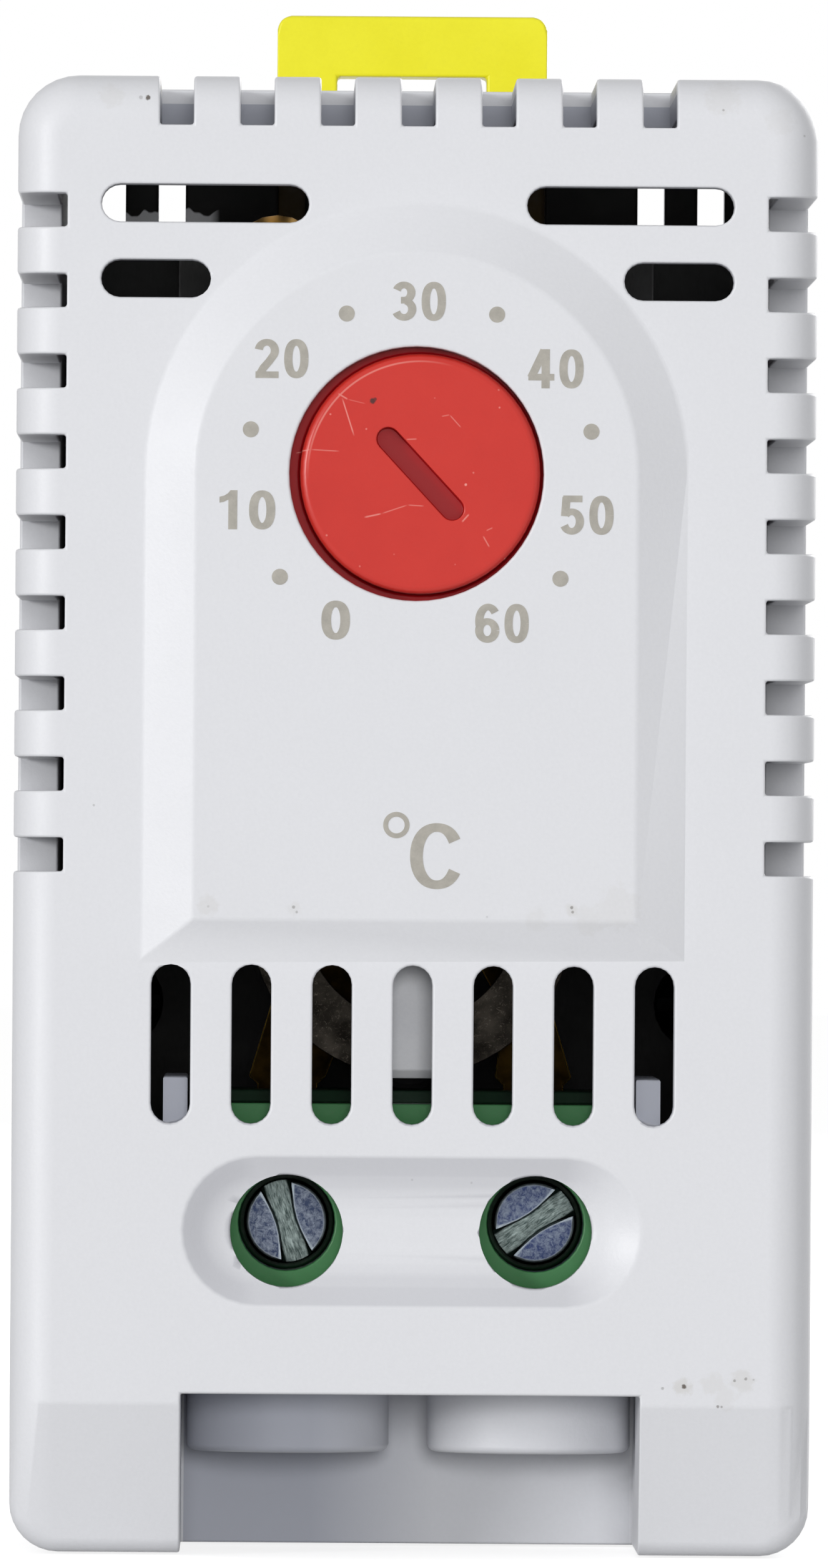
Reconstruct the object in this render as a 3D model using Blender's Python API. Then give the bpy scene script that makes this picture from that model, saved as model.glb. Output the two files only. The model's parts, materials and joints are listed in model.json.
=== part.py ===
"""Enclosure thermostat that clips to a 35 mm rail, with every piece as its own closed solid.

Units are metres. +X is to the right of someone who faces the dial, the dial faces -Y and +Z is up.
The origin is under the middle of the housing, on the surface that it stands on.
"""
import math

import bmesh
import bpy
from mathutils import Vector

# Clearances between pieces
FIT = 0.0003
PARTING_GAP = 0.00025

# Housing: a vented front cover over a rear housing of the same outline
CASE_WIDTH = 0.0328
CASE_HEIGHT = 0.0606
COVER_DEPTH = 0.0155
BASE_DEPTH = 0.0220
PANEL_RAISE = 0.0010
HOOK_DEPTH = 0.0045
SIDE_WALL = 0.0017
FRONT_WALL = 0.0018
REAR_WALL = 0.0018
TOP_CORNER = 0.0025
BOTTOM_CORNER = 0.0020
FRONT_FILLET = 0.0018
FOOT_FILLET = 0.0006
REAR_CHAMFER = 0.0008

# Feet of the cover and the cutout between them
CUTOUT_WIDTH = 0.0188
CUTOUT_HEIGHT = 0.0066
FOOT_SLOPE_HEIGHT = 0.0062
FOOT_SETBACK = 0.0026

# Vents of the cover
VENT_PITCH = 0.0033
NOTCH_WIDTH = 0.00138
NOTCH_REACH = 0.00205
TOP_NOTCHES = 7
SIDE_NOTCHES = 9
SIDE_NOTCH_DROP = 0.00556
LOWER_SLOTS = 7
LOWER_SLOT_WIDTH = 0.00161
LOWER_SLOT_LENGTH = 0.00652
LOWER_SLOT_HEIGHT = 0.02092
UPPER_SLOT_WIDTH = 0.00155
UPPER_SLOT_MARGIN = 0.00344
LONG_SLOT_LENGTH = 0.0085
LONG_SLOT_DROP = 0.00526
SHORT_SLOT_LENGTH = 0.0045
SHORT_SLOT_DROP = 0.00835

# Raised arch panel round the dial
DIAL_DROP = 0.0163
DIAL_OFFSET = 0.00015
PANEL_RADIUS = 0.0111
PANEL_BEVEL = 0.00205
PANEL_FOOT = 0.02443
PANEL_FOOT_BEVEL = 0.0016
DIAL_HOLE_RADIUS = 0.0052

# Terminal basin and access holes
TERMINAL_PITCH = 0.0102
TERMINAL_HEIGHT = 0.01328
BASIN_LENGTH = 0.0188
BASIN_WIDTH = 0.00614
BASIN_DEPTH = 0.0008
BASIN_FLOOR_WIDTH = 0.0010
BASIN_RINGS = 7
ACCESS_RADIUS = 0.00231

# Wire collars under the cover's ceiling
COLLAR_PITCH = 0.0100
COLLAR_RADIUS = 0.0042
COLLAR_BORE_RADIUS = 0.0031
COLLAR_BOTTOM = 0.0040
COLLAR_CHAMFER = 0.0003

# Ribs of the cover that hold the terminal block sideways
BLOCK_RIB_THICKNESS = 0.0010
BLOCK_RIB_TOP = 0.0196
BLOCK_RIB_LENGTH = 0.0107

# Snap tongues of the cover
TONGUE_HEIGHT = 0.0160
TONGUE_WIDTH = 0.0040
TONGUE_THICKNESS = 0.0012
TONGUE_REACH = 0.0065
TONGUE_HOOK = 0.0013
TONGUE_RAMP = 0.0019
LOCATOR_MARGIN = 0.0023
LOCATOR_WIDTH = 0.0020
LOCATOR_REACH = 0.0024

# Rear housing
SILL_HEIGHT = 0.0078
SILL_THICKNESS = 0.0015
REAR_VENT_PITCH = 0.00256
REAR_VENT_WIDTH = 0.00115
REAR_VENT_HEIGHT = 0.0038
REAR_VENT_DROP = 0.0022
REAR_VENTS = (-5, -4, -2, 2, 4, 5)
SCREW_POST_RADIUS = 0.0022
SCREW_POST_MARGIN = 0.0025
SCREW_POST_HEIGHT = 0.0225

# Rail clip: fixed hook below, sliding latch above
RAIL_HEIGHT = 0.0350
RAIL_PLAY = 0.0002
RAIL_SLOT = 0.0014
RAIL_OFFSET = -0.0004
HOOK_WIDTH = 0.0180
HOOK_THICKNESS = 0.0033
LIP_OVERLAP = 0.0015
LATCH_WIDTH = 0.01156
LATCH_LEG_WIDTH = 0.00258
LATCH_THICKNESS = 0.0029
LATCH_RISE = 0.0041
LATCH_BAR_HEIGHT = 0.0026
LATCH_TRAVEL = 0.0026
LATCH_EAR = 0.0016
LATCH_EAR_HEIGHT = 0.0010
LATCH_FOOT_HEIGHT = 0.0041
GUIDE_THICKNESS = 0.0022
GUIDE_LIP_WIDTH = 0.0012
GUIDE_DROP = 0.0020
SPRING_STOP_DROP = 0.0012
SPRING_STOP_HEIGHT = 0.0018
SPRING_STOP_WIDTH = 0.0044
SPRING_RADIUS = 0.00105
SPRING_WIRE_RADIUS = 0.0002
SPRING_TURNS = 5.5

# Dial knob, its spindle and its bush
KNOB_RADIUS = 0.00492
KNOB_RECESS = 0.0001
KNOB_EDGE = 0.0002
KNOB_FLANGE_RADIUS = 0.0061
KNOB_FLANGE_THICKNESS = 0.0012
KNOB_SLOT_LENGTH = 0.00483
KNOB_SLOT_WIDTH = 0.00095
KNOB_SLOT_DEPTH = 0.0012
KNOB_HUB_RADIUS = 0.0026
KNOB_HUB_LENGTH = 0.0030
POINTER_ANGLE = -42.8
SPINDLE_RADIUS = 0.0012
SPINDLE_LENGTH = 0.0106
BUSH_RADIUS = 0.0023
BUSH_FLANGE_RADIUS = 0.0029
BUSH_FLANGE_THICKNESS = 0.0009
BUSH_TAIL = 0.0016

# Face cam on the knob and the setting lever that follows it
CAM_INNER_RADIUS = 0.0030
CAM_OUTER_RADIUS = 0.0049
CAM_LOW_HEIGHT = 0.0009
CAM_RISE = 0.0006
CAM_SWEEP = 300.0
LEVER_WIDTH = 0.0034
LEVER_THICKNESS = 0.0016
LEVER_TOE_HEIGHT = 0.0195
LEVER_PIVOT_DROP = 0.0113
LEVER_HEAD = 0.0007
LEVER_NOSE_LENGTH = 0.0012
LEVER_HUB_RADIUS = 0.0015
PIN_RADIUS = 0.0006

# Bimetal blade, straps and contacts, from front to back
BRIDGE_THICKNESS = 0.0014
LEVER_TO_BRIDGE = 0.0006
BIMETAL_THICKNESS = 0.0006
BIMETAL_TO_STRAP = 0.0006
BIMETAL_RADIUS = 0.0067
BIMETAL_BORE = 0.0044
BIMETAL_BEND_HEIGHT = 0.0262
STRAP_THICKNESS = 0.0006
STRAP_TO_ARM = 0.0025
ARM_THICKNESS = 0.0004
ARM_WIDTH = 0.0030
ARM_BELOW_PIN = 0.0009
ARM_ROOT_DROP = 0.0083
ARM_HINGE_DROP = 0.0098
CONTACT_ABOVE_PIN = 0.0030
CONTACT_RADIUS = 0.0012
CONTACT_HEAD = 0.0008
RIVET_SHANK_RADIUS = 0.0006
RIVET_HEAD = 0.0005
RIVET_HEAD_RADIUS = 0.0012
RIVET_EDGE = 0.0013
ARM_RIVET_OFFSET = 0.0031
BLADE_RIVET_DROP = 0.0044
BOSS_RADIUS = 0.0019
TAB_HALF_HEIGHT = 0.0014
PUSH_PIN_RADIUS = 0.0008
PUSH_PIN_BELOW_BEND = 0.0055
MAGNET_RADIUS = 0.0018
MAGNET_LENGTH = 0.0024
MAGNET_GAP = 0.0013
CALIBRATION_OFFSET = -0.00576
CALIBRATION_DROP = 0.0013
CALIBRATION_RADIUS = 0.0020
CALIBRATION_LENGTH = 0.0030

# Terminal block, clamp screws and clamp cages
BLOCK_WIDTH = 0.0178
BLOCK_TOP = 0.0185
BLOCK_STEP = 0.0005
BLOCK_STEP_DEPTH = 0.0038
BLOCK_DEPTH = 0.0129
BLOCK_SETBACK = 0.0004
BLOCK_BORE_RADIUS = 0.00198
BLOCK_BORE_RISE = 0.00033
HEAD_RECESS = 0.0024
HEAD_RADIUS = 0.00175
HEAD_HEIGHT = 0.0015
HEAD_SLOT_DEPTH = 0.0009
HEAD_SLOT_WAIST = 0.0008
HEAD_SLOT_MOUTH = 0.0017
SHANK_RADIUS = 0.00125
SHOULDER = 0.0008
CAGE_TRAVEL = 0.0018
CAGE_FRONT = 0.0012
CAGE_WALL = 0.0007
CAGE_WIDTH = 0.0046
CAGE_HEIGHT = 0.0052
WIRE_SPACE = 0.0024
BAR_WIDTH = 0.0025
STRAP_WIDTH = 0.0032
STRAP_SLOPE = 0.3

# Switch carrier
CARRIER_SIDE_GAP = 0.0004
CARRIER_FOOT = 0.0090
CARRIER_DROP = 0.0062
CARRIER_PLATE = 0.0020
CARRIER_SET_BACK = 0.0070
CARRIER_RAIL_INNER = 0.0080
CARRIER_RAIL_OUTER = 0.0098
CARRIER_SCREW_HEAD = 0.0019
CARRIER_SCREW_SHANK = 0.0010
CARRIER_SCREW_LENGTH = 0.0085
BRIDGE_MARGIN = 0.0038

# Numbers of flat faces on round forms
FINE = 64
ROUND = 32
SMALL = 20
CORNER_STEPS = 8
FILLET_STEPS = 5

# Places from front to back
DEPTH = PANEL_RAISE + COVER_DEPTH + BASE_DEPTH + HOOK_DEPTH
PANEL_Y = -DEPTH / 2
FRONT_Y = PANEL_Y + PANEL_RAISE
PARTING_Y = FRONT_Y + COVER_DEPTH
COVER_REAR_Y = PARTING_Y - PARTING_GAP
BACK_Y = PARTING_Y + BASE_DEPTH
REAR_Y = BACK_Y + HOOK_DEPTH
INNER_FRONT_Y = FRONT_Y + FRONT_WALL
INNER_PANEL_Y = PANEL_Y + FRONT_WALL
INNER_BACK_Y = BACK_Y - REAR_WALL
CLEAR = 0.0020

# Places across and up
HALF_WIDTH = CASE_WIDTH / 2
INNER_HALF_WIDTH = HALF_WIDTH - SIDE_WALL
SCREW_POST_OFFSET = INNER_HALF_WIDTH - SCREW_POST_MARGIN
INNER_TOP = CASE_HEIGHT - SIDE_WALL
CEILING_TOP = CUTOUT_HEIGHT + SIDE_WALL
DIAL_HEIGHT = CASE_HEIGHT - DIAL_DROP
BORE_HEIGHT = TERMINAL_HEIGHT + BLOCK_BORE_RISE
TERMINALS = {"left": -TERMINAL_PITCH / 2, "right": TERMINAL_PITCH / 2}

# Mechanism stack behind the panel
KNOB_FACE_Y = PANEL_Y + KNOB_RECESS
FLANGE_FRONT_Y = INNER_PANEL_Y + FIT
FLANGE_REAR_Y = FLANGE_FRONT_Y + KNOB_FLANGE_THICKNESS
CAM_RADIUS = (CAM_INNER_RADIUS + CAM_OUTER_RADIUS) / 2
LEVER_PIVOT_HEIGHT = DIAL_HEIGHT - LEVER_PIVOT_DROP
FOLLOWER_HEIGHT = DIAL_HEIGHT - CAM_RADIUS
BLOCK_FRONT_Y = INNER_FRONT_Y + BLOCK_SETBACK
HEAD_FRONT_Y = BLOCK_FRONT_Y + HEAD_RECESS
SEAT_Y = HEAD_FRONT_Y + HEAD_HEIGHT + FIT
CHAMBER_FRONT_Y = SEAT_Y + SHOULDER
CAGE_FRONT_Y = CHAMBER_FRONT_Y + FIT + CAGE_TRAVEL
STRAP_Y = CAGE_FRONT_Y + CAGE_FRONT + FIT
CAGE_REAR_Y = STRAP_Y + STRAP_THICKNESS + WIRE_SPACE + CAGE_WALL
BLOCK_REAR_Y = BLOCK_FRONT_Y + BLOCK_DEPTH
STRAP_REAR_Y = STRAP_Y + STRAP_THICKNESS
BIMETAL_REAR_Y = STRAP_Y - BIMETAL_TO_STRAP
BIMETAL_FRONT_Y = BIMETAL_REAR_Y - BIMETAL_THICKNESS
BRIDGE_REAR_Y = BIMETAL_FRONT_Y - FIT
BRIDGE_FRONT_Y = BRIDGE_REAR_Y - BRIDGE_THICKNESS
LEVER_REAR_Y = BRIDGE_FRONT_Y - LEVER_TO_BRIDGE
LEVER_FRONT_Y = LEVER_REAR_Y - LEVER_THICKNESS
LEVER_PIVOT_Y = (LEVER_REAR_Y + LEVER_FRONT_Y) / 2
ARM_Y = STRAP_REAR_Y + STRAP_TO_ARM
ARM_REAR_Y = ARM_Y + ARM_THICKNESS
PUSH_PIN_HEIGHT = BIMETAL_BEND_HEIGHT - PUSH_PIN_BELOW_BEND
CONTACT_HEIGHT = PUSH_PIN_HEIGHT + CONTACT_ABOVE_PIN
ARM_FOOT_HEIGHT = PUSH_PIN_HEIGHT - ARM_BELOW_PIN
ARM_ROOT_HEIGHT = DIAL_HEIGHT - ARM_ROOT_DROP
ARM_HINGE_HEIGHT = DIAL_HEIGHT - ARM_HINGE_DROP
MAGNET_Y = ARM_REAR_Y + MAGNET_GAP
CARRIER_FRONT_Y = PARTING_Y + CARRIER_SET_BACK
CARRIER_REAR_Y = CARRIER_FRONT_Y + CARRIER_PLATE
CARRIER_TOP = CASE_HEIGHT - CARRIER_DROP
BRIDGE_FOOT = DIAL_HEIGHT - BUSH_RADIUS - BRIDGE_MARGIN
BLADE_RIVET_HEIGHT = DIAL_HEIGHT - BLADE_RIVET_DROP
BLADE_RIVET_OFFSET = (BIMETAL_RADIUS + BIMETAL_BORE) / 2
CALIBRATION_HEIGHT = CARRIER_TOP - CALIBRATION_DROP

# Rail clip places
RAIL_CENTRE = CASE_HEIGHT / 2 + RAIL_OFFSET
RAIL_FOOT = RAIL_CENTRE - RAIL_HEIGHT / 2
RAIL_TOP = RAIL_CENTRE + RAIL_HEIGHT / 2
LATCH_FRONT_Y = BACK_Y + FIT
LATCH_REAR_Y = LATCH_FRONT_Y + LATCH_THICKNESS
LIP_FRONT_Y = BACK_Y + RAIL_SLOT
LATCH_TOP = CASE_HEIGHT + LATCH_RISE
LATCH_FOOT = RAIL_TOP - LIP_OVERLAP
EAR_TOP = RAIL_TOP + RAIL_PLAY + LATCH_EAR_HEIGHT
GUIDE_FOOT = EAR_TOP + LATCH_TRAVEL + FIT
GUIDE_TOP = CASE_HEIGHT - GUIDE_DROP
GUIDE_INNER = LATCH_WIDTH / 2 + FIT
SPRING_FOOT = LATCH_FOOT + LATCH_FOOT_HEIGHT + LATCH_EAR_HEIGHT
SPRING_STOP_TOP = CASE_HEIGHT - SPRING_STOP_DROP
SPRING_HEAD = SPRING_STOP_TOP - SPRING_STOP_HEIGHT


def linear(code):
    """Linear red, green, blue and alpha of an sRGB hex code."""
    channels = [int(code[index:index + 2], 16) / 255 for index in (0, 2, 4)]
    curve = [value / 12.92 if value <= 0.04045 else ((value + 0.055) / 1.055) ** 2.4 for value in channels]
    return curve + [1.0]


def finish(name, code, roughness, metallic=0.0):
    """A material with the colour, roughness and metallic value of one finish."""
    material = bpy.data.materials.new(name)
    material.use_nodes = True
    shader = material.node_tree.nodes["Principled BSDF"]
    shader.inputs["Base Color"].default_value = linear(code)
    shader.inputs["Roughness"].default_value = roughness
    shader.inputs["Metallic"].default_value = metallic
    return material


def place(axis, across, up, along):
    """Point at (across, up) in the plane square to an axis, at a distance along that axis."""
    return Vector({"X": (along, across, up), "Y": (across, along, up), "Z": (across, up, along)}[axis])


def arc(centre, radius, start, end, steps):
    """Points of a circular arc, from one angle to the other in degrees."""
    points = []
    for step in range(steps + 1):
        angle = math.radians(start + (end - start) * step / steps)
        points.append((centre[0] + radius * math.cos(angle), centre[1] + radius * math.sin(angle)))
    return points


def rectangle(low, high):
    """Outline of a plain rectangle."""
    return [(low[0], low[1]), (high[0], low[1]), (high[0], high[1]), (low[0], high[1])]


def rounded_rectangle(low, high, foot_radius, top_radius, steps=CORNER_STEPS):
    """Outline of a rectangle whose lower and upper corners have their own radii."""
    outline = []
    corners = (
        (low[0] + foot_radius, low[1] + foot_radius, foot_radius, 180),
        (high[0] - foot_radius, low[1] + foot_radius, foot_radius, 270),
        (high[0] - top_radius, high[1] - top_radius, top_radius, 0),
        (low[0] + top_radius, high[1] - top_radius, top_radius, 90),
    )
    for across, up, radius, start in corners:
        outline += arc((across, up), radius, start, start + 90, steps)
    return outline


def stadium(centre, length, width, upright=False, steps=10):
    """Outline of a slot with round ends."""
    reach = (length - width) / 2
    radius = width / 2
    if upright:
        ends = ((centre[0], centre[1] + reach, 0), (centre[0], centre[1] - reach, 180))
    else:
        ends = ((centre[0] - reach, centre[1], 90), (centre[0] + reach, centre[1], 270))
    outline = []
    for across, up, start in ends:
        outline += arc((across, up), radius, start, start + 180, steps)
    return outline


def turned_outline(points, centre, clock):
    """Outline turned clockwise by an angle in degrees and set down at a centre."""
    angle = math.radians(clock)
    outline = []
    for across, up in points:
        outline.append((centre[0] + across * math.cos(angle) + up * math.sin(angle),
                        centre[1] - across * math.sin(angle) + up * math.cos(angle)))
    return outline


def add_rings(mesh, rings, hollow=False):
    """Skin a row of point rings. The ends are capped, or a hollow form closes on its first ring."""
    loops = [[mesh.verts.new(point) for point in ring] for ring in rings]
    pairs = list(zip(loops, loops[1:]))
    if hollow:
        pairs.append((loops[-1], loops[0]))
    else:
        mesh.faces.new(loops[0])
        mesh.faces.new(loops[-1])
    for first, second in pairs:
        for index in range(len(first)):
            after = (index + 1) % len(first)
            mesh.faces.new((first[index], first[after], second[after], second[index]))


def add_prism(mesh, axis, outline, low, high):
    """Extrude an outline along an axis, from one distance to the other."""
    add_rings(mesh, [[place(axis, *point, along) for point in outline] for along in (low, high)])


def add_box(mesh, low, high):
    """Box between two corners."""
    add_prism(mesh, "Y", rectangle((low[0], low[2]), (high[0], high[2])), low[1], high[1])


def add_turned(mesh, axis, centre, profile, faces=ROUND, hollow=False):
    """Turn a profile of (radius, distance along the axis) pairs round an axis through centre."""
    rings = []
    for radius, along in profile:
        circle = arc(centre, radius, 0, 360 - 360 / faces, faces - 1)
        rings.append([place(axis, across, up, along) for across, up in circle])
    add_rings(mesh, rings, hollow)


def add_cylinder(mesh, axis, centre, radius, low, high, faces=ROUND):
    """Cylinder round an axis through centre."""
    add_turned(mesh, axis, centre, [(radius, low), (radius, high)], faces)


def solid(name, mesh, material, origin=(0, 0, 0), parent=None):
    """Put a finished mesh into the scene as one named piece, with its origin on its joint's axis."""
    bmesh.ops.recalc_face_normals(mesh, faces=mesh.faces)
    origin = Vector(origin)
    bmesh.ops.translate(mesh, verts=mesh.verts, vec=-origin)
    data = bpy.data.meshes.new(name)
    mesh.to_mesh(data)
    mesh.free()
    data.shade_smooth()
    data.set_sharp_from_angle(angle=math.radians(30))
    if material:
        data.materials.append(material)
    piece = bpy.data.objects.new(name, data)
    bpy.context.scene.collection.objects.link(piece)
    piece.location = origin
    if parent:
        piece.parent = parent
        piece.location = origin - parent.location
    return piece


def tool(name, mesh):
    """A cutter or an addition that only shapes another piece."""
    piece = solid(name, mesh, None)
    piece.hide_render = True
    piece.display_type = "WIRE"
    return piece


def shape(target, operation, mesh, name):
    """Cut a mesh out of a piece, or join it on, and keep the step as a modifier."""
    modifier = target.modifiers.new(name, "BOOLEAN")
    modifier.operation = operation
    modifier.solver = "EXACT"
    modifier.object = tool(f"{target.name}_{name}", mesh)


def joint_frame(name, location):
    """An empty on a joint's axis, which carries the pieces that move together."""
    empty = bpy.data.objects.new(name, None)
    empty.location = location
    bpy.context.scene.collection.objects.link(empty)
    return empty


def case_outline(side_inset, top_inset, foot_inset):
    """Outline of the housing drawn in by an amount at the sides, the top and the foot."""
    low = (-HALF_WIDTH + side_inset, foot_inset)
    high = (HALF_WIDTH - side_inset, CASE_HEIGHT - top_inset)
    foot_radius = max(BOTTOM_CORNER - side_inset, FIT / 2)
    top_radius = max(TOP_CORNER - top_inset, FIT / 2)
    return rounded_rectangle(low, high, foot_radius, top_radius)


def foot_slope(height):
    """How far the cover's front lies back at a height on its sloping feet."""
    return FOOT_SETBACK * max(0.0, 1 - height / FOOT_SLOPE_HEIGHT)


def cover_blank():
    """Outer form of the cover: filleted front edges, and a front that slopes back over the feet."""
    mesh = bmesh.new()
    rings = []
    for step in range(FILLET_STEPS + 1):
        angle = math.pi / 2 * step / FILLET_STEPS
        inset = 1 - math.sin(angle)
        outline = case_outline(FRONT_FILLET * inset, FRONT_FILLET * inset, FOOT_FILLET * inset)
        half = len(outline) // 2
        sides = [(outline[half][0], FOOT_SLOPE_HEIGHT), (outline[-1][0], FOOT_SLOPE_HEIGHT)]
        outline = outline[:half] + [sides[0]] + outline[half:] + [sides[1]]
        rings.append([])
        for across, up in outline:
            foot = max(0.0, 1 - up / FOOT_SLOPE_HEIGHT)
            depth = (FRONT_FILLET * (1 - foot) + FOOT_FILLET * foot) * (1 - math.cos(angle))
            rings[-1].append(mesh.verts.new((across, FRONT_Y + depth + foot_slope(up), up)))
    half = len(rings[0]) // 2
    rings.append([mesh.verts.new((vert.co.x, COVER_REAR_Y, vert.co.z)) for vert in rings[-1]])
    mesh.faces.new([rings[0][-1]] + rings[0][:half])
    mesh.faces.new(rings[0][half - 1:])
    mesh.faces.new(rings[-1])
    for first, second in zip(rings, rings[1:]):
        for index in range(len(first)):
            after = (index + 1) % len(first)
            mesh.faces.new((first[index], first[after], second[after], second[index]))
    return mesh


def arch_outline(radius, foot):
    """Outline of the panel: a half circle on the dial's centre over straight sides."""
    outline = [(-radius, foot), (radius, foot)]
    return outline + arc((0, DIAL_HEIGHT), radius, 0, 180, ROUND)


def panel_blank():
    """Raised arch panel with a sloping edge, rooted in the cover's front wall."""
    mesh = bmesh.new()
    levels = (
        (PANEL_RADIUS, PANEL_FOOT, INNER_FRONT_Y - FRONT_WALL / 2),
        (PANEL_RADIUS, PANEL_FOOT, FRONT_Y),
        (PANEL_RADIUS - PANEL_BEVEL, PANEL_FOOT + PANEL_FOOT_BEVEL, PANEL_Y),
    )
    rings = [[place("Y", across, up, along) for across, up in arch_outline(radius, foot)]
             for radius, foot, along in levels]
    add_rings(mesh, rings)
    return mesh


def cover_hollow():
    """Inside of the cover above its ceiling."""
    mesh = bmesh.new()
    outline = rounded_rectangle((-INNER_HALF_WIDTH, CEILING_TOP), (INNER_HALF_WIDTH, INNER_TOP),
                                SIDE_WALL / 3, TOP_CORNER - SIDE_WALL, 3)
    add_prism(mesh, "Y", outline, INNER_FRONT_Y, PARTING_Y)
    return mesh


def panel_hollow():
    """Core behind the raised panel, which keeps its wall even and leaves room for the knob's flange."""
    mesh = bmesh.new()
    radius = PANEL_RADIUS - PANEL_BEVEL - PANEL_RAISE / 2
    outline = arch_outline(radius, PANEL_FOOT + PANEL_FOOT_BEVEL + PANEL_RAISE / 2)
    add_prism(mesh, "Y", outline, INNER_PANEL_Y, INNER_FRONT_Y + FIT)
    return mesh


def foot_pockets():
    """Hollows of the two feet, with a front that follows the feet's slope."""
    mesh = bmesh.new()
    profile = [(INNER_FRONT_Y, CEILING_TOP + FIT), (INNER_FRONT_Y, FOOT_SLOPE_HEIGHT),
               (INNER_FRONT_Y + foot_slope(SIDE_WALL), SIDE_WALL),
               (PARTING_Y, SIDE_WALL), (PARTING_Y, CEILING_TOP + FIT)]
    inner = CUTOUT_WIDTH / 2 + SIDE_WALL
    add_prism(mesh, "X", profile, -INNER_HALF_WIDTH, -inner)
    add_prism(mesh, "X", profile, inner, INNER_HALF_WIDTH)
    return mesh


def cover_vents():
    """Edge notches, upper slots and lower slots, each on the same pitch as its neighbours."""
    mesh = bmesh.new()
    front = PANEL_Y - CLEAR
    half = NOTCH_WIDTH / 2
    for index in range(TOP_NOTCHES):
        across = (index - (TOP_NOTCHES - 1) / 2) * VENT_PITCH
        low = (across - half, CASE_HEIGHT - NOTCH_REACH)
        add_prism(mesh, "Y", rectangle(low, (across + half, CASE_HEIGHT + CLEAR)), front, PARTING_Y)
    for index in range(SIDE_NOTCHES):
        up = CASE_HEIGHT - SIDE_NOTCH_DROP - index * VENT_PITCH
        for side in (-1, 1):
            ends = sorted((side * (HALF_WIDTH - NOTCH_REACH), side * (HALF_WIDTH + CLEAR)))
            add_prism(mesh, "Y", rectangle((ends[0], up - half), (ends[1], up + half)), front, PARTING_Y)
    through = INNER_FRONT_Y + FIT
    for index in range(LOWER_SLOTS):
        across = (index - (LOWER_SLOTS - 1) / 2) * VENT_PITCH
        outline = stadium((across, LOWER_SLOT_HEIGHT), LOWER_SLOT_LENGTH, LOWER_SLOT_WIDTH, upright=True)
        add_prism(mesh, "Y", outline, front, through)
    for length, drop in ((LONG_SLOT_LENGTH, LONG_SLOT_DROP), (SHORT_SLOT_LENGTH, SHORT_SLOT_DROP)):
        for side in (-1, 1):
            across = side * (HALF_WIDTH - UPPER_SLOT_MARGIN - length / 2)
            outline = stadium((across, CASE_HEIGHT - drop), length, UPPER_SLOT_WIDTH)
            add_prism(mesh, "Y", outline, front, through)
    return mesh


def terminal_basin():
    """Shallow dish round the two access holes: a round-ended scoop whose sides are one arc."""
    mesh = bmesh.new()
    half = BASIN_WIDTH / 2
    radius = (half ** 2 + BASIN_DEPTH ** 2) / (2 * BASIN_DEPTH)
    rim = math.asin(half / radius)
    over = CLEAR / 4
    floor = BASIN_FLOOR_WIDTH / 2
    levels = [(half + over * math.tan(rim), FRONT_Y - over)]
    for step in range(BASIN_RINGS):
        reach = half + (floor - half) * step / (BASIN_RINGS - 1)
        depth = math.sqrt(radius ** 2 - reach ** 2) - (radius - BASIN_DEPTH)
        levels.append((reach, FRONT_Y + depth))
    rings = []
    for reach, along in levels:
        centre = (0, TERMINAL_HEIGHT)
        change = 2 * (reach - half)
        outline = stadium(centre, BASIN_LENGTH + change, BASIN_WIDTH + change, steps=ROUND // 2)
        rings.append([place("Y", across, up, along) for across, up in outline])
    add_rings(mesh, rings)
    return mesh


def side_tongue(side):
    """Plan outline of one snap tongue, with its barb behind the parting line."""
    face = INNER_HALF_WIDTH - FIT
    catch = PARTING_Y + TONGUE_REACH - TONGUE_RAMP
    points = [
        (face - TONGUE_THICKNESS, COVER_REAR_Y - 2 * CLEAR),
        (INNER_HALF_WIDTH + SIDE_WALL / 3, COVER_REAR_Y - 2 * CLEAR),
        (INNER_HALF_WIDTH + SIDE_WALL / 3, COVER_REAR_Y),
        (face, COVER_REAR_Y),
        (face, catch),
        (face + TONGUE_HOOK, catch),
        (face, PARTING_Y + TONGUE_REACH),
        (face - TONGUE_THICKNESS, PARTING_Y + TONGUE_REACH),
    ]
    return [(side * across, along) for across, along in points]


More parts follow.
